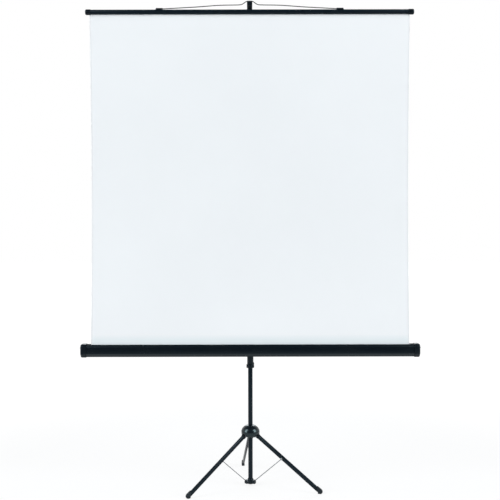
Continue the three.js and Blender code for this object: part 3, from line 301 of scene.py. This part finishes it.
WHITE = (1.0, 1.0, 1.0, 1.0)
MIX_FIRST, MIX_SECOND, MIX_RESULT = 6, 7, 2  # colour sockets of the mix node
NOISE_MIDDLE = (0.3, 0.7)  # where most of a noise lies
RISING, FALLING = (0.0, 1.0), (1.0, 0.0)


def add_node(tree, kind, inputs=None, **settings):
    """Adds a node; an input is set to a value or linked to a socket."""
    node = tree.nodes.new(kind)
    for key, value in settings.items():
        setattr(node, key, value)
    for key, value in (inputs or {}).items():
        if isinstance(value, bpy.types.NodeSocket):
            tree.links.new(value, node.inputs[key])
        else:
            node.inputs[key].default_value = value
    return node


def mix_colours(tree, factor, first, second):
    first, second = (
        tone if isinstance(tone, bpy.types.NodeSocket) else (*tone, 1.0)
        for tone in (first, second)
    )
    inputs = {"Factor": factor, MIX_FIRST: first, MIX_SECOND: second}
    return add_node(tree, "ShaderNodeMix", inputs, data_type="RGBA").outputs[MIX_RESULT]


def calculate(tree, operation, *values, clamp=False):
    """One sum of a math node, from values or sockets."""
    inputs = dict(enumerate(values))
    node = add_node(tree, "ShaderNodeMath", inputs, operation=operation, use_clamp=clamp)
    return node.outputs["Value"]


def spread(tree, value, to_range, from_range=NOISE_MIDDLE):
    """Takes one range of a value to another."""
    inputs = {
        "Value": value,
        "From Min": from_range[0],
        "From Max": from_range[1],
        "To Min": to_range[0],
        "To Max": to_range[1],
    }
    return add_node(tree, "ShaderNodeMapRange", inputs).outputs["Result"]


def coordinates(tree, kind="Object"):
    return tree.nodes.new("ShaderNodeTexCoord").outputs[kind]


def split(tree, vector):
    """The X, Y and Z of a vector."""
    return add_node(tree, "ShaderNodeSeparateXYZ", {"Vector": vector}).outputs


def noise(tree, scale, detail):
    inputs = {"Vector": coordinates(tree), "Scale": scale, "Detail": detail}
    return add_node(tree, "ShaderNodeTexNoise", inputs).outputs["Fac"]


def new_group(name, inputs, outputs):
    """A shader group with number sockets, and its two end nodes."""
    tree = bpy.data.node_groups.new(name, "ShaderNodeTree")
    for label, default in inputs.items():
        socket = tree.interface.new_socket(
            name=label, in_out="INPUT", socket_type="NodeSocketFloat"
        )
        socket.default_value = default
    for label in outputs:
        tree.interface.new_socket(name=label, in_out="OUTPUT", socket_type="NodeSocketFloat")
    return tree, tree.nodes.new("NodeGroupInput"), tree.nodes.new("NodeGroupOutput")


GRAIN_DETAIL = 2.0
MOTTLE_DETAIL = 3.0
PATCH_DETAIL = 4.0
SCRATCH_DETAIL = 3.0
PATCH_RANGE = (0.55, 0.72)  # noise from which a patch begins and is full
SCRATCH_RANGE = (0.45, 0.7)
THREAD_WAVER = 0.6


def make_grain_group():
    """Fine surface grain, and slow mottling of the same surface."""
    tree, given, result = new_group(
        "Surface grain", {"Grain": 900.0, "Mottle": 12.0}, ("Height", "Mottling")
    )
    grain = noise(tree, given.outputs["Grain"], GRAIN_DETAIL)
    mottling = noise(tree, given.outputs["Mottle"], MOTTLE_DETAIL)
    tree.links.new(grain, result.inputs["Height"])
    tree.links.new(mottling, result.inputs["Mottling"])


def make_rub_group():
    """Patches of fine scratches, as handling leaves them."""
    tree, given, result = new_group(
        "Rub marks", {"Patch": 22.0, "Scratch": 700.0}, ("Mask",)
    )
    patches = noise(tree, given.outputs["Patch"], PATCH_DETAIL)
    patches = spread(tree, patches, RISING, PATCH_RANGE)
    scratches = noise(tree, given.outputs["Scratch"], SCRATCH_DETAIL)
    scratches = spread(tree, scratches, RISING, SCRATCH_RANGE)
    tree.links.new(calculate(tree, "MULTIPLY", patches, scratches), result.inputs["Mask"])


def make_weave_group():
    """Crossing threads of the screen cloth, seen as small bumps."""
    tree, given, result = new_group("Cloth weave", {"Threads": 520.0}, ("Height",))
    across, up = (
        add_node(
            tree,
            "ShaderNodeTexWave",
            {
                "Vector": coordinates(tree),
                "Scale": given.outputs["Threads"],
                "Distortion": THREAD_WAVER,
            },
            bands_direction=direction,
        ).outputs["Fac"]
        for direction in ("X", "Z")
    )
    tree.links.new(calculate(tree, "MULTIPLY", across, up), result.inputs["Height"])


def placed_group(tree, name, **inputs):
    """Places a group in a material with its own values."""
    node = tree.nodes.new("ShaderNodeGroup")
    node.node_tree = bpy.data.node_groups[name]
    for key, value in inputs.items():
        node.inputs[key].default_value = value
    return node.outputs


def new_material(name):
    """A new material, its tree and its shader."""
    material = bpy.data.materials.new(name)
    material.use_nodes = True
    tree = material.node_tree
    return material, tree, tree.nodes["Principled BSDF"]


def connect(tree, shader, base_colour, roughness, strength, distance, height):
    """Feeds a shader with a colour, a roughness and a bump."""
    inputs = {"Strength": strength, "Distance": distance, "Height": height}
    bump = add_node(tree, "ShaderNodeBump", inputs)
    tree.links.new(base_colour, shader.inputs["Base Color"])
    tree.links.new(roughness, shader.inputs["Roughness"])
    tree.links.new(bump.outputs["Normal"], shader.inputs["Normal"])


# Finishes


class Finish(NamedTuple):
    """A hard surface, in the colour of the setting that has its name."""

    second_tone: float  # tone of mottled places, as a share of the colour
    rubbed_tone: float  # the same of rubbed places, where it may be lighter
    roughness: tuple  # least and most
    grain: float  # noise scale of the grain
    grain_height: float
    shader: dict  # sockets that are the same all over


def coat(ior, tint):
    """Shader settings of a dark coat with a cool sheen."""
    return {"IOR": ior, "Specular Tint": (*tint, 1.0)}


FINISHES = {
    "paint": Finish(0.78, 2.4, (0.24, 0.32), 1300.0, 0.00004, coat(1.28, (0.7, 0.9, 1.0))),
    "enamel": Finish(0.78, 2.4, (0.2, 0.28), 1300.0, 0.00003, coat(1.41, (0.7, 0.9, 1.0))),
    "plastic": Finish(0.8, 2.0, (0.28, 0.4), 1700.0, 0.00006, coat(1.34, (0.68, 0.88, 1.0))),
    "gloss": Finish(0.85, 1.6, (0.18, 0.26), 300.0, 0.00002, coat(1.48, (0.74, 0.97, 1.0))),
    "rubber": Finish(0.8, 2.6, (0.55, 0.7), 900.0, 0.0001, coat(1.4, (0.7, 0.88, 1.0))),
    "zinc": Finish(0.82, 0.8, (0.42, 0.55), 1500.0, 0.00002, {"Metallic": 0.8, "IOR": 1.35}),
    "steel": Finish(0.8, 0.7, (0.3, 0.46), 1200.0, 0.00003, {"Metallic": 1.0}),
    "wire": Finish(0.75, 1.8, (0.26, 0.38), 1500.0, 0.00002, {"IOR": 1.5}),
}
MOTTLE_SCALE = 9.0
RUB_PATCH, RUB_SCRATCH = 17.0, 800.0
RUB_SHARE = 0.35
GRAIN_STRENGTH = 0.35

CLOTHS = ("fabric", "backing")
CLOTH_GRAIN, CLOTH_MOTTLE, CLOTH_THREADS = 1400.0, 1.6, 520.0
CLOTH_SECOND_TONE = 0.975
CLOTH_ROUGHNESS = (0.78, 0.92)
CLOTH_SHADER = {"IOR": 1.4, "Specular IOR Level": 0.25}
WEAVE_STRENGTH, WEAVE_HEIGHT = 0.25, 0.00008
PAINTED_FOOT_SHADE = (0.915, 0.95, 0.955)  # share of the colour that is left at the foot of the fabric: painted shade where the case shades it
PAINTED_FOOT_SHADE_RANGE = (0.03, 0.055)  # from full to no painted shade, above the top of the case
HEM_SHADE = 0.9  # share of the colour that is left along the side edges
HEM_RANGE = (0.4945, 0.4985)  # from the middle, as a share of the width


def finish_material(name):
    """A finish by name, built when it is first asked for."""
    known = bpy.data.materials.get(f"{name} finish")
    if known:
        return known
    return cloth_material(name) if name in CLOTHS else hard_material(name)


def hard_material(name):
    """Painted, moulded or plated surface: mottled, grained and rubbed in places."""
    finish = FINISHES[name]
    tone = Vector(getattr(colours(), name))
    material, tree, shader = new_material(f"{name} finish")
    grain = placed_group(tree, "Surface grain", Grain=finish.grain, Mottle=MOTTLE_SCALE)
    rub = placed_group(tree, "Rub marks", Patch=RUB_PATCH, Scratch=RUB_SCRATCH)
    mottling = spread(tree, grain["Mottling"], RISING)
    mottled = mix_colours(tree, mottling, tone, tone * finish.second_tone)
    # Rub marks here are real wear; the same name carries the painted shade of the cloth
    rub_wear_and_painted_shade = calculate(tree, "MULTIPLY", rub["Mask"], RUB_SHARE)
    worn = mix_colours(tree, rub_wear_and_painted_shade, mottled, tone * finish.rubbed_tone)
    rough = spread(tree, grain["Mottling"], finish.roughness)
    connect(tree, shader, worn, rough, GRAIN_STRENGTH, finish.grain_height, grain["Height"])
    for socket, value in finish.shader.items():
        shader.inputs[socket].default_value = value
    return material


def cloth_material(name):
    """Matte coated cloth: a fine weave under an even coat, with painted shade just above the case.
    """
    tone = Vector(getattr(colours(), name))
    material, tree, shader = new_material(f"{name} finish")
    grain = placed_group(tree, "Surface grain", Grain=CLOTH_GRAIN, Mottle=CLOTH_MOTTLE)
    weave = placed_group(tree, "Cloth weave", Threads=CLOTH_THREADS)
    mottling = spread(tree, grain["Mottling"], RISING)
    shade = mix_colours(tree, mottling, tone, tone * CLOTH_SECOND_TONE)
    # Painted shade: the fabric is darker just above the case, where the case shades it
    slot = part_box("case_shell")[1].z
    height = split(tree, coordinates(tree))["Z"]
    rub_wear_and_painted_shade = spread(tree, height, FALLING, [slot + rise for rise in PAINTED_FOOT_SHADE_RANGE])
    painted_foot_tone = [part * share for part, share in zip(tone, PAINTED_FOOT_SHADE)]
    shade = mix_colours(tree, rub_wear_and_painted_shade, shade, painted_foot_tone)
    across = split(tree, coordinates(tree, "UV"))["X"]
    aside = calculate(tree, "ABSOLUTE", calculate(tree, "SUBTRACT", across, 0.5))
    hem = spread(tree, aside, RISING, HEM_RANGE)
    shade = mix_colours(tree, hem, shade, tone * HEM_SHADE)
    rough = spread(tree, grain["Height"], CLOTH_ROUGHNESS)
    connect(tree, shader, shade, rough, WEAVE_STRENGTH, WEAVE_HEIGHT, weave["Height"])
    for socket, value in CLOTH_SHADER.items():
        shader.inputs[socket].default_value = value
    return material


# Operators, one for each piece or group of like pieces


class TripodScreenStep:
    """Options that the operators share."""

    bl_options = {"REGISTER", "UNDO"}


class TRIPODSCREEN_OT_stage(TripodScreenStep, bpy.types.Operator):
    """Make the floor, the soft studio light and the camera"""

    bl_idname = "tripod_screen.stage"
    bl_label = "Stage"

    FLOOR_DROP = 0.0004  # below the feet
    FLOOR_RADIUS = 40.0
    FLOOR_SIDES = 96
    FLOOR_INSET = 0.9  # share of the radius
    FLOOR_ROUGHNESS = 0.9
    PAPER_TONE = (0.6, 0.6, 0.6)
    PAPER_EDGE = (1.6, 4.2)  # distance over which the paper turns into the dim studio floor
    DIM_FLOOR_TONE = (0.06, 0.07, 0.08)
    FLOOR_GLOW = 0.8  # share of the paper that shows as plain white
    FLOOR_LEVEL = 1.062  # strength of that white
    GLOW_RANGE = (0.0, 0.6)  # part of the paper's edge over which that share becomes the whole

    STUDIO_TONE = (0.57, 0.6, 0.63)  # light from the sides and from behind
    DIM_STUDIO_TONE = (0.168, 0.187, 0.208)  # light from the front and from above
    AHEAD_RANGE = (-0.7, 0.25)  # of a direction's Y, from the dim front to the sides
    ABOVE_RANGE = (0.15, 0.8)  # of a direction's Z, up to the dim ceiling

    # Place from the post's axis, width and height, and watts of each soft lamp
    LAMPS = {
        "left_softbox": ((-7.15, -3.82, 4.8), (4.4, 7.6), 818.0),
        "right_softbox": ((7.15, -3.82, 4.8), (4.2, 7.4), 790.0),
        "back_softbox": ((0.0, 6.5, 4.6), (5.0, 3.5), 245.0),
    }
    LAMP_TINT = (0.905, 0.955, 0.985)
    AIM_HEIGHT = 2.1  # of the point that the lamps look at, over the post

    CAMERA_PLACE = (-0.0048, -4.942, 1.4447)  # from the post's axis
    CAMERA_TURN = (0.05, 1.06, -0.11)  # yaw to the right, pitch down and roll, in degrees
    FOCAL_SHARE = 862.5 / 500.0  # focal length over picture width
    SENSOR = 36.0
    CLIP_END = 100.0

    def execute(self, context):
        context.scene.view_settings.view_transform = "Standard"
        self.make_floor()
        self.make_world(context.scene)
        for name, lamp in self.LAMPS.items():
            self.make_lamp(name, *lamp)
        self.make_camera(context.scene)
        return {"FINISHED"}

    def make_floor(self):
        clear_selection()
        bpy.ops.mesh.primitive_circle_add(
            vertices=self.FLOOR_SIDES,
            radius=self.FLOOR_RADIUS,
            fill_type="NGON",
            location=(0, 0, -self.FLOOR_DROP),
        )
        floor = named("studio_floor")
        edit(floor)
        bpy.ops.mesh.select_all(action="SELECT")
        bpy.ops.mesh.inset(thickness=self.FLOOR_RADIUS * self.FLOOR_INSET)
        bpy.ops.object.mode_set(mode="OBJECT")
        material, tree, paper = new_material("studio floor")
        paper.inputs["Roughness"].default_value = self.FLOOR_ROUGHNESS
        distance = add_node(
            tree, "ShaderNodeVectorMath", {0: coordinates(tree)}, operation="LENGTH"
        ).outputs["Value"]
        beyond = spread(tree, distance, RISING, self.PAPER_EDGE)
        tone = mix_colours(tree, beyond, self.PAPER_TONE, self.DIM_FLOOR_TONE)
        tree.links.new(tone, paper.inputs["Base Color"])
        glow = add_node(
            tree, "ShaderNodeEmission", {"Color": WHITE, "Strength": self.FLOOR_LEVEL}
        )
        glowing = spread(tree, beyond, (self.FLOOR_GLOW, 1.0), self.GLOW_RANGE)
        share = calculate(tree, "MULTIPLY", self.shown(tree, beyond), glowing)
        self.mix_shaders(
            tree,
            share,
            paper.outputs["BSDF"],
            glow.outputs["Emission"],
            tree.nodes["Material Output"],
        )
        floor.data.materials.append(material)

    @staticmethod
    def shown(tree, dim):
        """1 where plain white shows: to the eye everywhere, in reflections where it isn't dim."""
        path = tree.nodes.new("ShaderNodeLightPath").outputs
        lit = calculate(tree, "SUBTRACT", 1.0, dim)
        seen = calculate(tree, "MULTIPLY", path["Is Glossy Ray"], lit)
        for ray in ("Is Camera Ray", "Is Transmission Ray"):
            seen = calculate(tree, "ADD", seen, path[ray], clamp=True)
        return seen

    @staticmethod
    def mix_shaders(tree, share, first, second, output):
        mixed = add_node(tree, "ShaderNodeMixShader", {0: share, 1: first, 2: second})
        tree.links.new(mixed.outputs["Shader"], output.inputs["Surface"])

    def make_world(self, scene):
        """White all round for the eye; the studio is dim in front and overhead."""
        scene.world = bpy.data.worlds.new("studio")
        scene.world.use_nodes = True
        tree = scene.world.node_tree
        tree.nodes.clear()
        direction = split(tree, coordinates(tree, "Generated"))
        ahead = spread(tree, direction["Y"], FALLING, self.AHEAD_RANGE)
        above = spread(tree, direction["Z"], RISING, self.ABOVE_RANGE)
        dim = calculate(tree, "MAXIMUM", ahead, above)
        tone = mix_colours(tree, dim, self.STUDIO_TONE, self.DIM_STUDIO_TONE)
        studio, white = (
            add_node(tree, "ShaderNodeBackground", {"Color": seen, "Strength": 1.0})
            for seen in (tone, WHITE)
        )
        self.mix_shaders(
            tree,
            self.shown(tree, dim),
            studio.outputs["Background"],
            white.outputs["Background"],
            tree.nodes.new("ShaderNodeOutputWorld"),
        )

    def make_lamp(self, name, spot, size, watts):
        location = Vector(spot) + Vector((0, POST_AXIS_Y, 0))
        clear_selection()
        bpy.ops.object.light_add(type="AREA", location=location)
        lamp = bpy.context.object
        lamp.name = lamp.data.name = name
        lamp.data.shape = "RECTANGLE"
        lamp.data.size, lamp.data.size_y = size
        lamp.data.energy = watts
        lamp.data.color = self.LAMP_TINT
        aim = Vector((0, POST_AXIS_Y, self.AIM_HEIGHT)) - location
        lamp.rotation_euler = aim.to_track_quat("-Z", "Y").to_euler()

    def make_camera(self, scene):
        clear_selection()
        bpy.ops.object.camera_add()
        camera = bpy.context.object
        camera.name = camera.data.name = "photograph_camera"
        yaw, pitch, roll = (math.radians(angle) for angle in self.CAMERA_TURN)
        turn = (
            Matrix.Rotation(-yaw, 4, "Z")
            @ Matrix.Rotation(math.pi / 2 - pitch, 4, "X")
            @ Matrix.Rotation(roll, 4, "Z")
        )
        x, y, z = self.CAMERA_PLACE
        camera.matrix_world = Matrix.Translation((x, POST_AXIS_Y + y, z)) @ turn
        camera.data.sensor_width = self.SENSOR
        camera.data.lens = self.FOCAL_SHARE * self.SENSOR
        camera.data.clip_end = self.CLIP_END
        scene.camera = camera


class TRIPODSCREEN_OT_fabric(TripodScreenStep, bpy.types.Operator):
    """Make the stretched screen fabric between the case and the top bar"""

    bl_idname = "tripod_screen.fabric"
    bl_label = "Screen fabric"

    ACROSS, UP = 90, 96  # parts of the grid
    HELD = 0.12  # height over which the fabric comes free below the bar and above the case
    SLOT_HELD = 0.08  # height at its lower end that the case holds flat
    WAVE_SHARE = 0.35  # of the bow
    WAVE_ACROSS, WAVE_START = 5.5, 0.7  # radians to the metre, and at the middle
    WAVE_UP = 2.2  # half waves in the height
    CURL_POWER = 14  # how close to the side edges the curl stays
    CURL_STEADY, CURL_CHANGE = 0.6, 0.4  # shares that stay and that change with the height
    CURL_UP = 3.1  # half waves in the height
    BACKWARD = 0.5  # least Y of the normal of a face of the back
    FOLDED_TRAVEL = 0.94  # how far the bar comes down with the mast rod

    def execute(self, context):
        low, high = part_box("screen_fabric")
        width, height = high.x - low.x, high.z - low.z
        centre = (low + high) / 2
        clear_selection()
        bpy.ops.mesh.primitive_grid_add(
            x_subdivisions=self.ACROSS,
            y_subdivisions=self.UP,
            size=1.0,
            location=centre,
            rotation=(math.pi / 2, 0, 0),
        )
        bpy.context.object.scale = (width, height, 1.0)
        sheet = named("screen_sheet")
        for vertex in sheet.data.vertices:
            self.stretch(vertex.co, low.z, width / 2, height)
        apply_modifier(sheet, "SOLIDIFY", thickness=sizes().fabric_thickness, offset=0.0)
        smooth(sheet)
        place(sheet, "screen_fabric", "fabric")
        sheet.data.materials.append(finish_material("backing"))
        for face in sheet.data.polygons:
            face.material_index = 1 if face.normal.y > self.BACKWARD else 0
        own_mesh(sheet)
        return {"FINISHED"}

    def stretch(self, point, foot, half, height):
        """Bows a point of the flat sheet, curls it near the side edges and draws it in."""
        side = abs(point.x) / half
        up = point.z - foot
        turn = math.pi * up / height
        free = min(1.0, max(0.0, min(up - self.SLOT_HELD, height - up) / self.HELD))
        free = free * free * (3 - 2 * free)
        bow = math.sin(turn) * (1 - side**2)
        wave = math.sin(self.WAVE_ACROSS * point.x + self.WAVE_START)
        wave *= math.sin(self.WAVE_UP * turn)
        curl = side**self.CURL_POWER
        curl *= self.CURL_STEADY + self.CURL_CHANGE * math.cos(self.CURL_UP * turn)
        billow = sizes().fabric_billow * (bow + self.WAVE_SHARE * wave)
        point.y += free * (billow - sizes().fabric_curl * curl)
        point.x *= 1 - free * math.sin(turn) * sizes().fabric_waist / half


class TRIPODSCREEN_OT_roll(TripodScreenStep, bpy.types.Operator):
    """Make the turns of fabric that stay wound on the roller"""

    bl_idname = "tripod_screen.roll"
    bl_label = "Wound fabric"

    TURNS = 2
    STEPS = 144
    INNER_GAP = 0.0003  # between the roller tube and the first turn
    PRESSED = 0.9  # share of its thickness, so that the turns stay apart

    def execute(self, context):
        low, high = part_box("fabric_roll")
        axis = (low + high) / 2
        outer = (high.z - low.z) / 2
        inner = (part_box("roller_tube")[1].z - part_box("roller_tube")[0].z) / 2
        thickness = sizes().fabric_thickness
        first = inner + self.INNER_GAP + thickness / 2
        last = outer - thickness / 2
        clear_selection()
        bpy.ops.mesh.primitive_grid_add(x_subdivisions=2, y_subdivisions=self.STEPS, size=1.0)
        bpy.context.object.scale = (high.x - low.x, 1.0, 1.0)
        roll = named("wound_fabric")
        for vertex in roll.data.vertices:
            along = vertex.co.y + 0.5
            angle = math.pi + along * self.TURNS * 2 * math.pi
            radius = first + (last - first) * along
            vertex.co.y = axis.y + radius * math.cos(angle)
            vertex.co.z = axis.z + radius * math.sin(angle)
        apply_modifier(roll, "SOLIDIFY", thickness=thickness * self.PRESSED, offset=0.0)
        smooth(roll)
        place(roll, "fabric_roll", "fabric")
        return {"FINISHED"}


class TRIPODSCREEN_OT_tubes(TripodScreenStep, bpy.types.Operator):
    """Make the post, the carriage tube, the mast rod, the leg tubes and the top bar"""

    bl_idname = "tripod_screen.tubes"
    bl_label = "Tubes"

    FACETS = 64

    def execute(self, context):
        self.round_tube("lower_post", sizes().post_wall)
        self.round_tube("carriage_tube", sizes().post_wall)
        self.round_tube("mast_rod", sizes().rod_wall)
        for leg in LEGS:
            finished(f"leg_tube_{leg}", "paint", sizes().tube_edge)
        finished("top_bar", "paint", sizes().tube_edge)
        return {"FINISHED"}

    def round_tube(self, node, wall):
        """An upright tube in place of a faceted one."""
        low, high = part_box(node)
        clear_selection()
        bpy.ops.mesh.primitive_cylinder_add(
            vertices=self.FACETS,
            radius=(high.x - low.x) / 2,
            depth=high.z - low.z,
            end_fill_type="NOTHING",
            location=(low + high) / 2,
        )
        tube = named(f"{node}_finished")
        apply_modifier(tube, "SOLIDIFY", thickness=wall, offset=-1.0)
        round_edges(tube, sizes().tube_edge)
        smooth(tube)
        place(tube, node, "paint")


class TRIPODSCREEN_OT_hub(TripodScreenStep, bpy.types.Operator):
    """Make the sliding hub, its pins, the stop ring and the collar at the foot of the post"""

    bl_idname = "tripod_screen.hub"
    bl_label = "Hub and base collar"

    def execute(self, context):
        finished("hub_dome", "gloss", BROAD_EDGE, segments=3)
        finished("hub_yoke", "plastic", FINE_EDGE)
        finished("hub_stop_ring", "plastic", FINE_EDGE)
        finished("base_collar", "plastic", SMALL_EDGE)
        finished("post_foot_plug", "rubber", SMALL_EDGE)
        for leg in LEGS:
            finished(f"leg_pin_{leg}", "steel", PIN_EDGE, over=PIN_ANGLE)
        return {"FINISHED"}


class TRIPODSCREEN_OT_legs(TripodScreenStep, bpy.types.Operator):
    """Make the leg ends, the rubber feet, the struts and their rivets"""

    bl_idname = "tripod_screen.legs"
    bl_label = "Leg fittings"

    STRUT_ANGLE = 55.0  # degrees beyond which an edge of a strut is rounded

    def execute(self, context):
        for leg in LEGS:
            finished(f"leg_tang_{leg}", "plastic", SMALL_EDGE)
            finished(f"leg_foot_{leg}", "rubber", BROAD_EDGE, segments=3)
            finished(f"strut_{leg}", "zinc", PIN_EDGE, over=self.STRUT_ANGLE)
            finished(f"strut_rivet_{leg}", "steel", RIVET_EDGE, over=PIN_ANGLE)
        return {"FINISHED"}


class TRIPODSCREEN_OT_clamps(TripodScreenStep, bpy.types.Operator):
    """Make the sleeve and the two tube clamps with their levers and pins"""

    bl_idname = "tripod_screen.clamps"
    bl_label = "Sleeve and clamps"

    def execute(self, context):
        finished("carriage_sleeve", "plastic")
        for clamp in ("clamp", "mast"):
            finished(f"{clamp}_collar", "plastic", SMALL_EDGE)
            finished(f"{clamp}_lever", "plastic")
            finished(f"{clamp}_pin", "paint", sizes().tube_edge)
        return {"FINISHED"}


class TRIPODSCREEN_OT_case(TripodScreenStep, bpy.types.Operator):
    """Make the folded case, its end caps with their screws and the plate behind it"""

    bl_idname = "tripod_screen.case"
    bl_label = "Case"

    SCREW_OFFSET = 0.0165  # of the screws from the middle of an end cap, both ways
    HEAD_FACETS = 28
    UPWARD = 0.9  # least Z of the normal of the face on top
    # Shares of the head's radius
    CROWN_STEP = 0.3
    RECESS_LENGTH, RECESS_WIDTH = 1.1, 0.26
    HEAD_EDGE = 0.05
    # Shares of the head's height
    CROWN_RISES = (0.3, 0.12)
    RECESS_MIDDLE, RECESS_DEPTH = 1.25, 0.9

    def execute(self, context):
        finished("case_shell", "enamel", sizes().fold, segments=3)
        finished("case_plate", "paint", sizes().tube_edge)
        for end in ENDS:
            finished(f"end_cap_{end}", "plastic", segments=3)
        master = self.make_screw()
        for end, side in zip(ENDS, (-1, 1)):
            cap = f"end_cap_{end}"
            low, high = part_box(cap)
            face = low.x if side < 0 else high.x
            for row, step in enumerate((-self.SCREW_OFFSET, self.SCREW_OFFSET)):
                spot = middle(cap) + Vector((0, -step, step))
                spot.x = face
                self.copy_screw(master, f"cap_screw_{end}_{row}", spot, side, cap)
        delete(master)
        return {"FINISHED"}

    def make_screw(self):
        """Domed head with a cross recess, standing on the origin along +Z."""
        radius, height = sizes().screw_radius, sizes().screw_height
        clear_selection()
        bpy.ops.mesh.primitive_cylinder_add(
            vertices=self.HEAD_FACETS, radius=radius, depth=height, location=(0, 0, height / 2)
        )
        head = named("screw_master")
        edit(head)
        select_faces(head, lambda normal: normal.z > self.UPWARD)
        for rise in self.CROWN_RISES:
            bpy.ops.mesh.inset(thickness=radius * self.CROWN_STEP)
            bpy.ops.transform.translate(value=(0, 0, height * rise))
        bpy.ops.object.mode_set(mode="OBJECT")
        cutters = []
        sides = (self.RECESS_LENGTH, self.RECESS_WIDTH)
        for long, short in (sides, sides[::-1]):
            clear_selection()
            bpy.ops.mesh.primitive_cube_add(
                size=1.0, location=(0, 0, height * self.RECESS_MIDDLE)
            )
            bpy.context.object.scale = (
                radius * long,
                radius * short,
                height * self.RECESS_DEPTH,
            )
            cutters.append(named("recess"))
        pick(*cutters)
        bpy.ops.object.join()
        cutter = bpy.context.object
        apply_modifier(
            head,
            "BOOLEAN",
            object=cutter,
            operation="DIFFERENCE",
            solver="EXACT",
            use_self=True,
        )
        delete(cutter)
        round_edges(head, radius * self.HEAD_EDGE)
        smooth(head)
        return head

    def copy_screw(self, master, name, spot, side, node):
        """Copies the screw to a place on an end face that looks along X."""
        screw = duplicate(master)
        turn = Matrix.Rotation(side * math.pi / 2, 4, "Y")
        screw.matrix_world = Matrix.Translation(spot) @ turn
        named(name)
        place(screw, node, "steel", replaced=False)


class TRIPODSCREEN_OT_handle(TripodScreenStep, bpy.types.Operator):
    """Make the carrying handle and the ribs of its grip"""

    bl_idname = "tripod_screen.handle"
    bl_label = "Carrying handle"

    GRIP_ANGLE = 60.0  # degrees beyond which an edge of the handle is rounded
    GRIP_THICKNESS = 0.013
    RIB_FACETS = 20
    RIB_SHARE = 0.72  # rib length over the handle's width
    RIB_EDGE = 0.6  # share of the rib's radius
    RIB_SPAN = 0.05  # from the first rib to the last
    RIB_SINK = 0.0008  # depth of a rib's axis in the grip

    def execute(self, context):
        finished(
            "carry_handle", "plastic", sizes().grip_edge, segments=4, over=self.GRIP_ANGLE
        )
        low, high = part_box("carry_handle")
        radius = sizes().rib_radius
        clear_selection()
        bpy.ops.mesh.primitive_cylinder_add(
            vertices=self.RIB_FACETS,
            radius=radius,
            depth=(high.x - low.x) * self.RIB_SHARE,
            location=(0, high.y - self.GRIP_THICKNESS + self.RIB_SINK, 0),
            rotation=(0, math.pi / 2, 0),
        )
        master = named("grip_rib_master")
        round_edges(master, radius * self.RIB_EDGE, segments=3)
        smooth(master)
        count = sizes().rib_count
        for index in range(count):
            rib = duplicate(master)
            share = index / max(1, count - 1) - 0.5
            rib.location.z = middle("carry_handle").z + self.RIB_SPAN * share
            named(f"grip_rib_{index}")
            place(rib, "carry_handle", "plastic", replaced=False)
        delete(master)
        return {"FINISHED"}


class TRIPODSCREEN_OT_bail(TripodScreenStep, bpy.types.Operator):
    """Make the bar's caps, the bail with its sockets and the head that it hangs on"""

    bl_idname = "tripod_screen.bail"
    bl_label = "Bail and head"

    WIRE_ANGLE = 70.0  # degrees beyond which an edge of the wire is rounded
    WIRE_LEVELS = 2

    def execute(self, context):
        for end in ENDS:
            finished(f"bar_cap_{end}", "plastic", SMALL_EDGE)
            finished(f"bail_socket_{end}", "plastic", FINE_EDGE)
        finished("mast_head", "plastic", BROAD_EDGE, segments=3)
        bail = finished("bail", "wire", RIVET_EDGE, over=self.WIRE_ANGLE)
        apply_modifier(
            bail, "SUBSURF", levels=self.WIRE_LEVELS, render_levels=self.WIRE_LEVELS
        )
        apply_modifier(bail, "DISPLACE", strength=sizes().wire_swell, mid_level=0.0)
        smooth(bail)
        return {"FINISHED"}


class TRIPODSCREEN_OT_inner(TripodScreenStep, bpy.types.Operator):
    """Finish the frame pieces that show as they are: bushes, brackets, the roller and its spring"""

    bl_idname = "tripod_screen.inner"
    bl_label = "Inner pieces"

    FINISH_OF_SLOT = {"black_plastic": "plastic", "black_paint": "paint", "steel": "steel"}

    def execute(self, context):
        for node, piece in NODES.items():
            if piece.hide_render:
                continue
            finish = finish_material(self.FINISH_OF_SLOT[SLOT_OF[node]])
            for slot in piece.material_slots:
                slot.material = finish
        return {"FINISHED"}


OPERATORS = (
    TRIPODSCREEN_OT_stage,
    TRIPODSCREEN_OT_fabric,
    TRIPODSCREEN_OT_roll,
    TRIPODSCREEN_OT_tubes,
    TRIPODSCREEN_OT_hub,
    TRIPODSCREEN_OT_legs,
    TRIPODSCREEN_OT_clamps,
    TRIPODSCREEN_OT_case,
    TRIPODSCREEN_OT_handle,
    TRIPODSCREEN_OT_bail,
    TRIPODSCREEN_OT_inner,
)


class TRIPODSCREEN_PT_panel(bpy.types.Panel):
    """Lists the steps, sizes and colours of the screen"""

    bl_idname = "TRIPODSCREEN_PT_panel"
    bl_label = "Tripod Screen"
    bl_space_type = "VIEW_3D"
    bl_region_type = "UI"
    bl_category = "Screen"

    def draw(self, context):
        for step in OPERATORS:
            self.layout.operator(step.bl_idname)
        for group in (context.scene.tripod_screen_sizes, context.scene.tripod_screen_colours):
            box = self.layout.box()
            for key in group.bl_rna.properties.keys():
                if key not in ("rna_type", "name"):
                    box.prop(group, key)


CLASSES = (TripodScreenSizes, TripodScreenColours, *OPERATORS, TRIPODSCREEN_PT_panel)


def register():
    for item in CLASSES:
        bpy.utils.register_class(item)
    bpy.types.Scene.tripod_screen_sizes = PointerProperty(type=TripodScreenSizes)
    bpy.types.Scene.tripod_screen_colours = PointerProperty(type=TripodScreenColours)


def unregister():
    del bpy.types.Scene.tripod_screen_colours
    del bpy.types.Scene.tripod_screen_sizes
    for item in reversed(CLASSES):
        bpy.utils.unregister_class(item)


def main():
    register()
    for make_group in (make_grain_group, make_rub_group, make_weave_group):
        make_group()
    for step in OPERATORS:
        getattr(bpy.ops.tripod_screen, step.bl_idname.split(".")[1])()


if __name__ == "__main__":
    main()
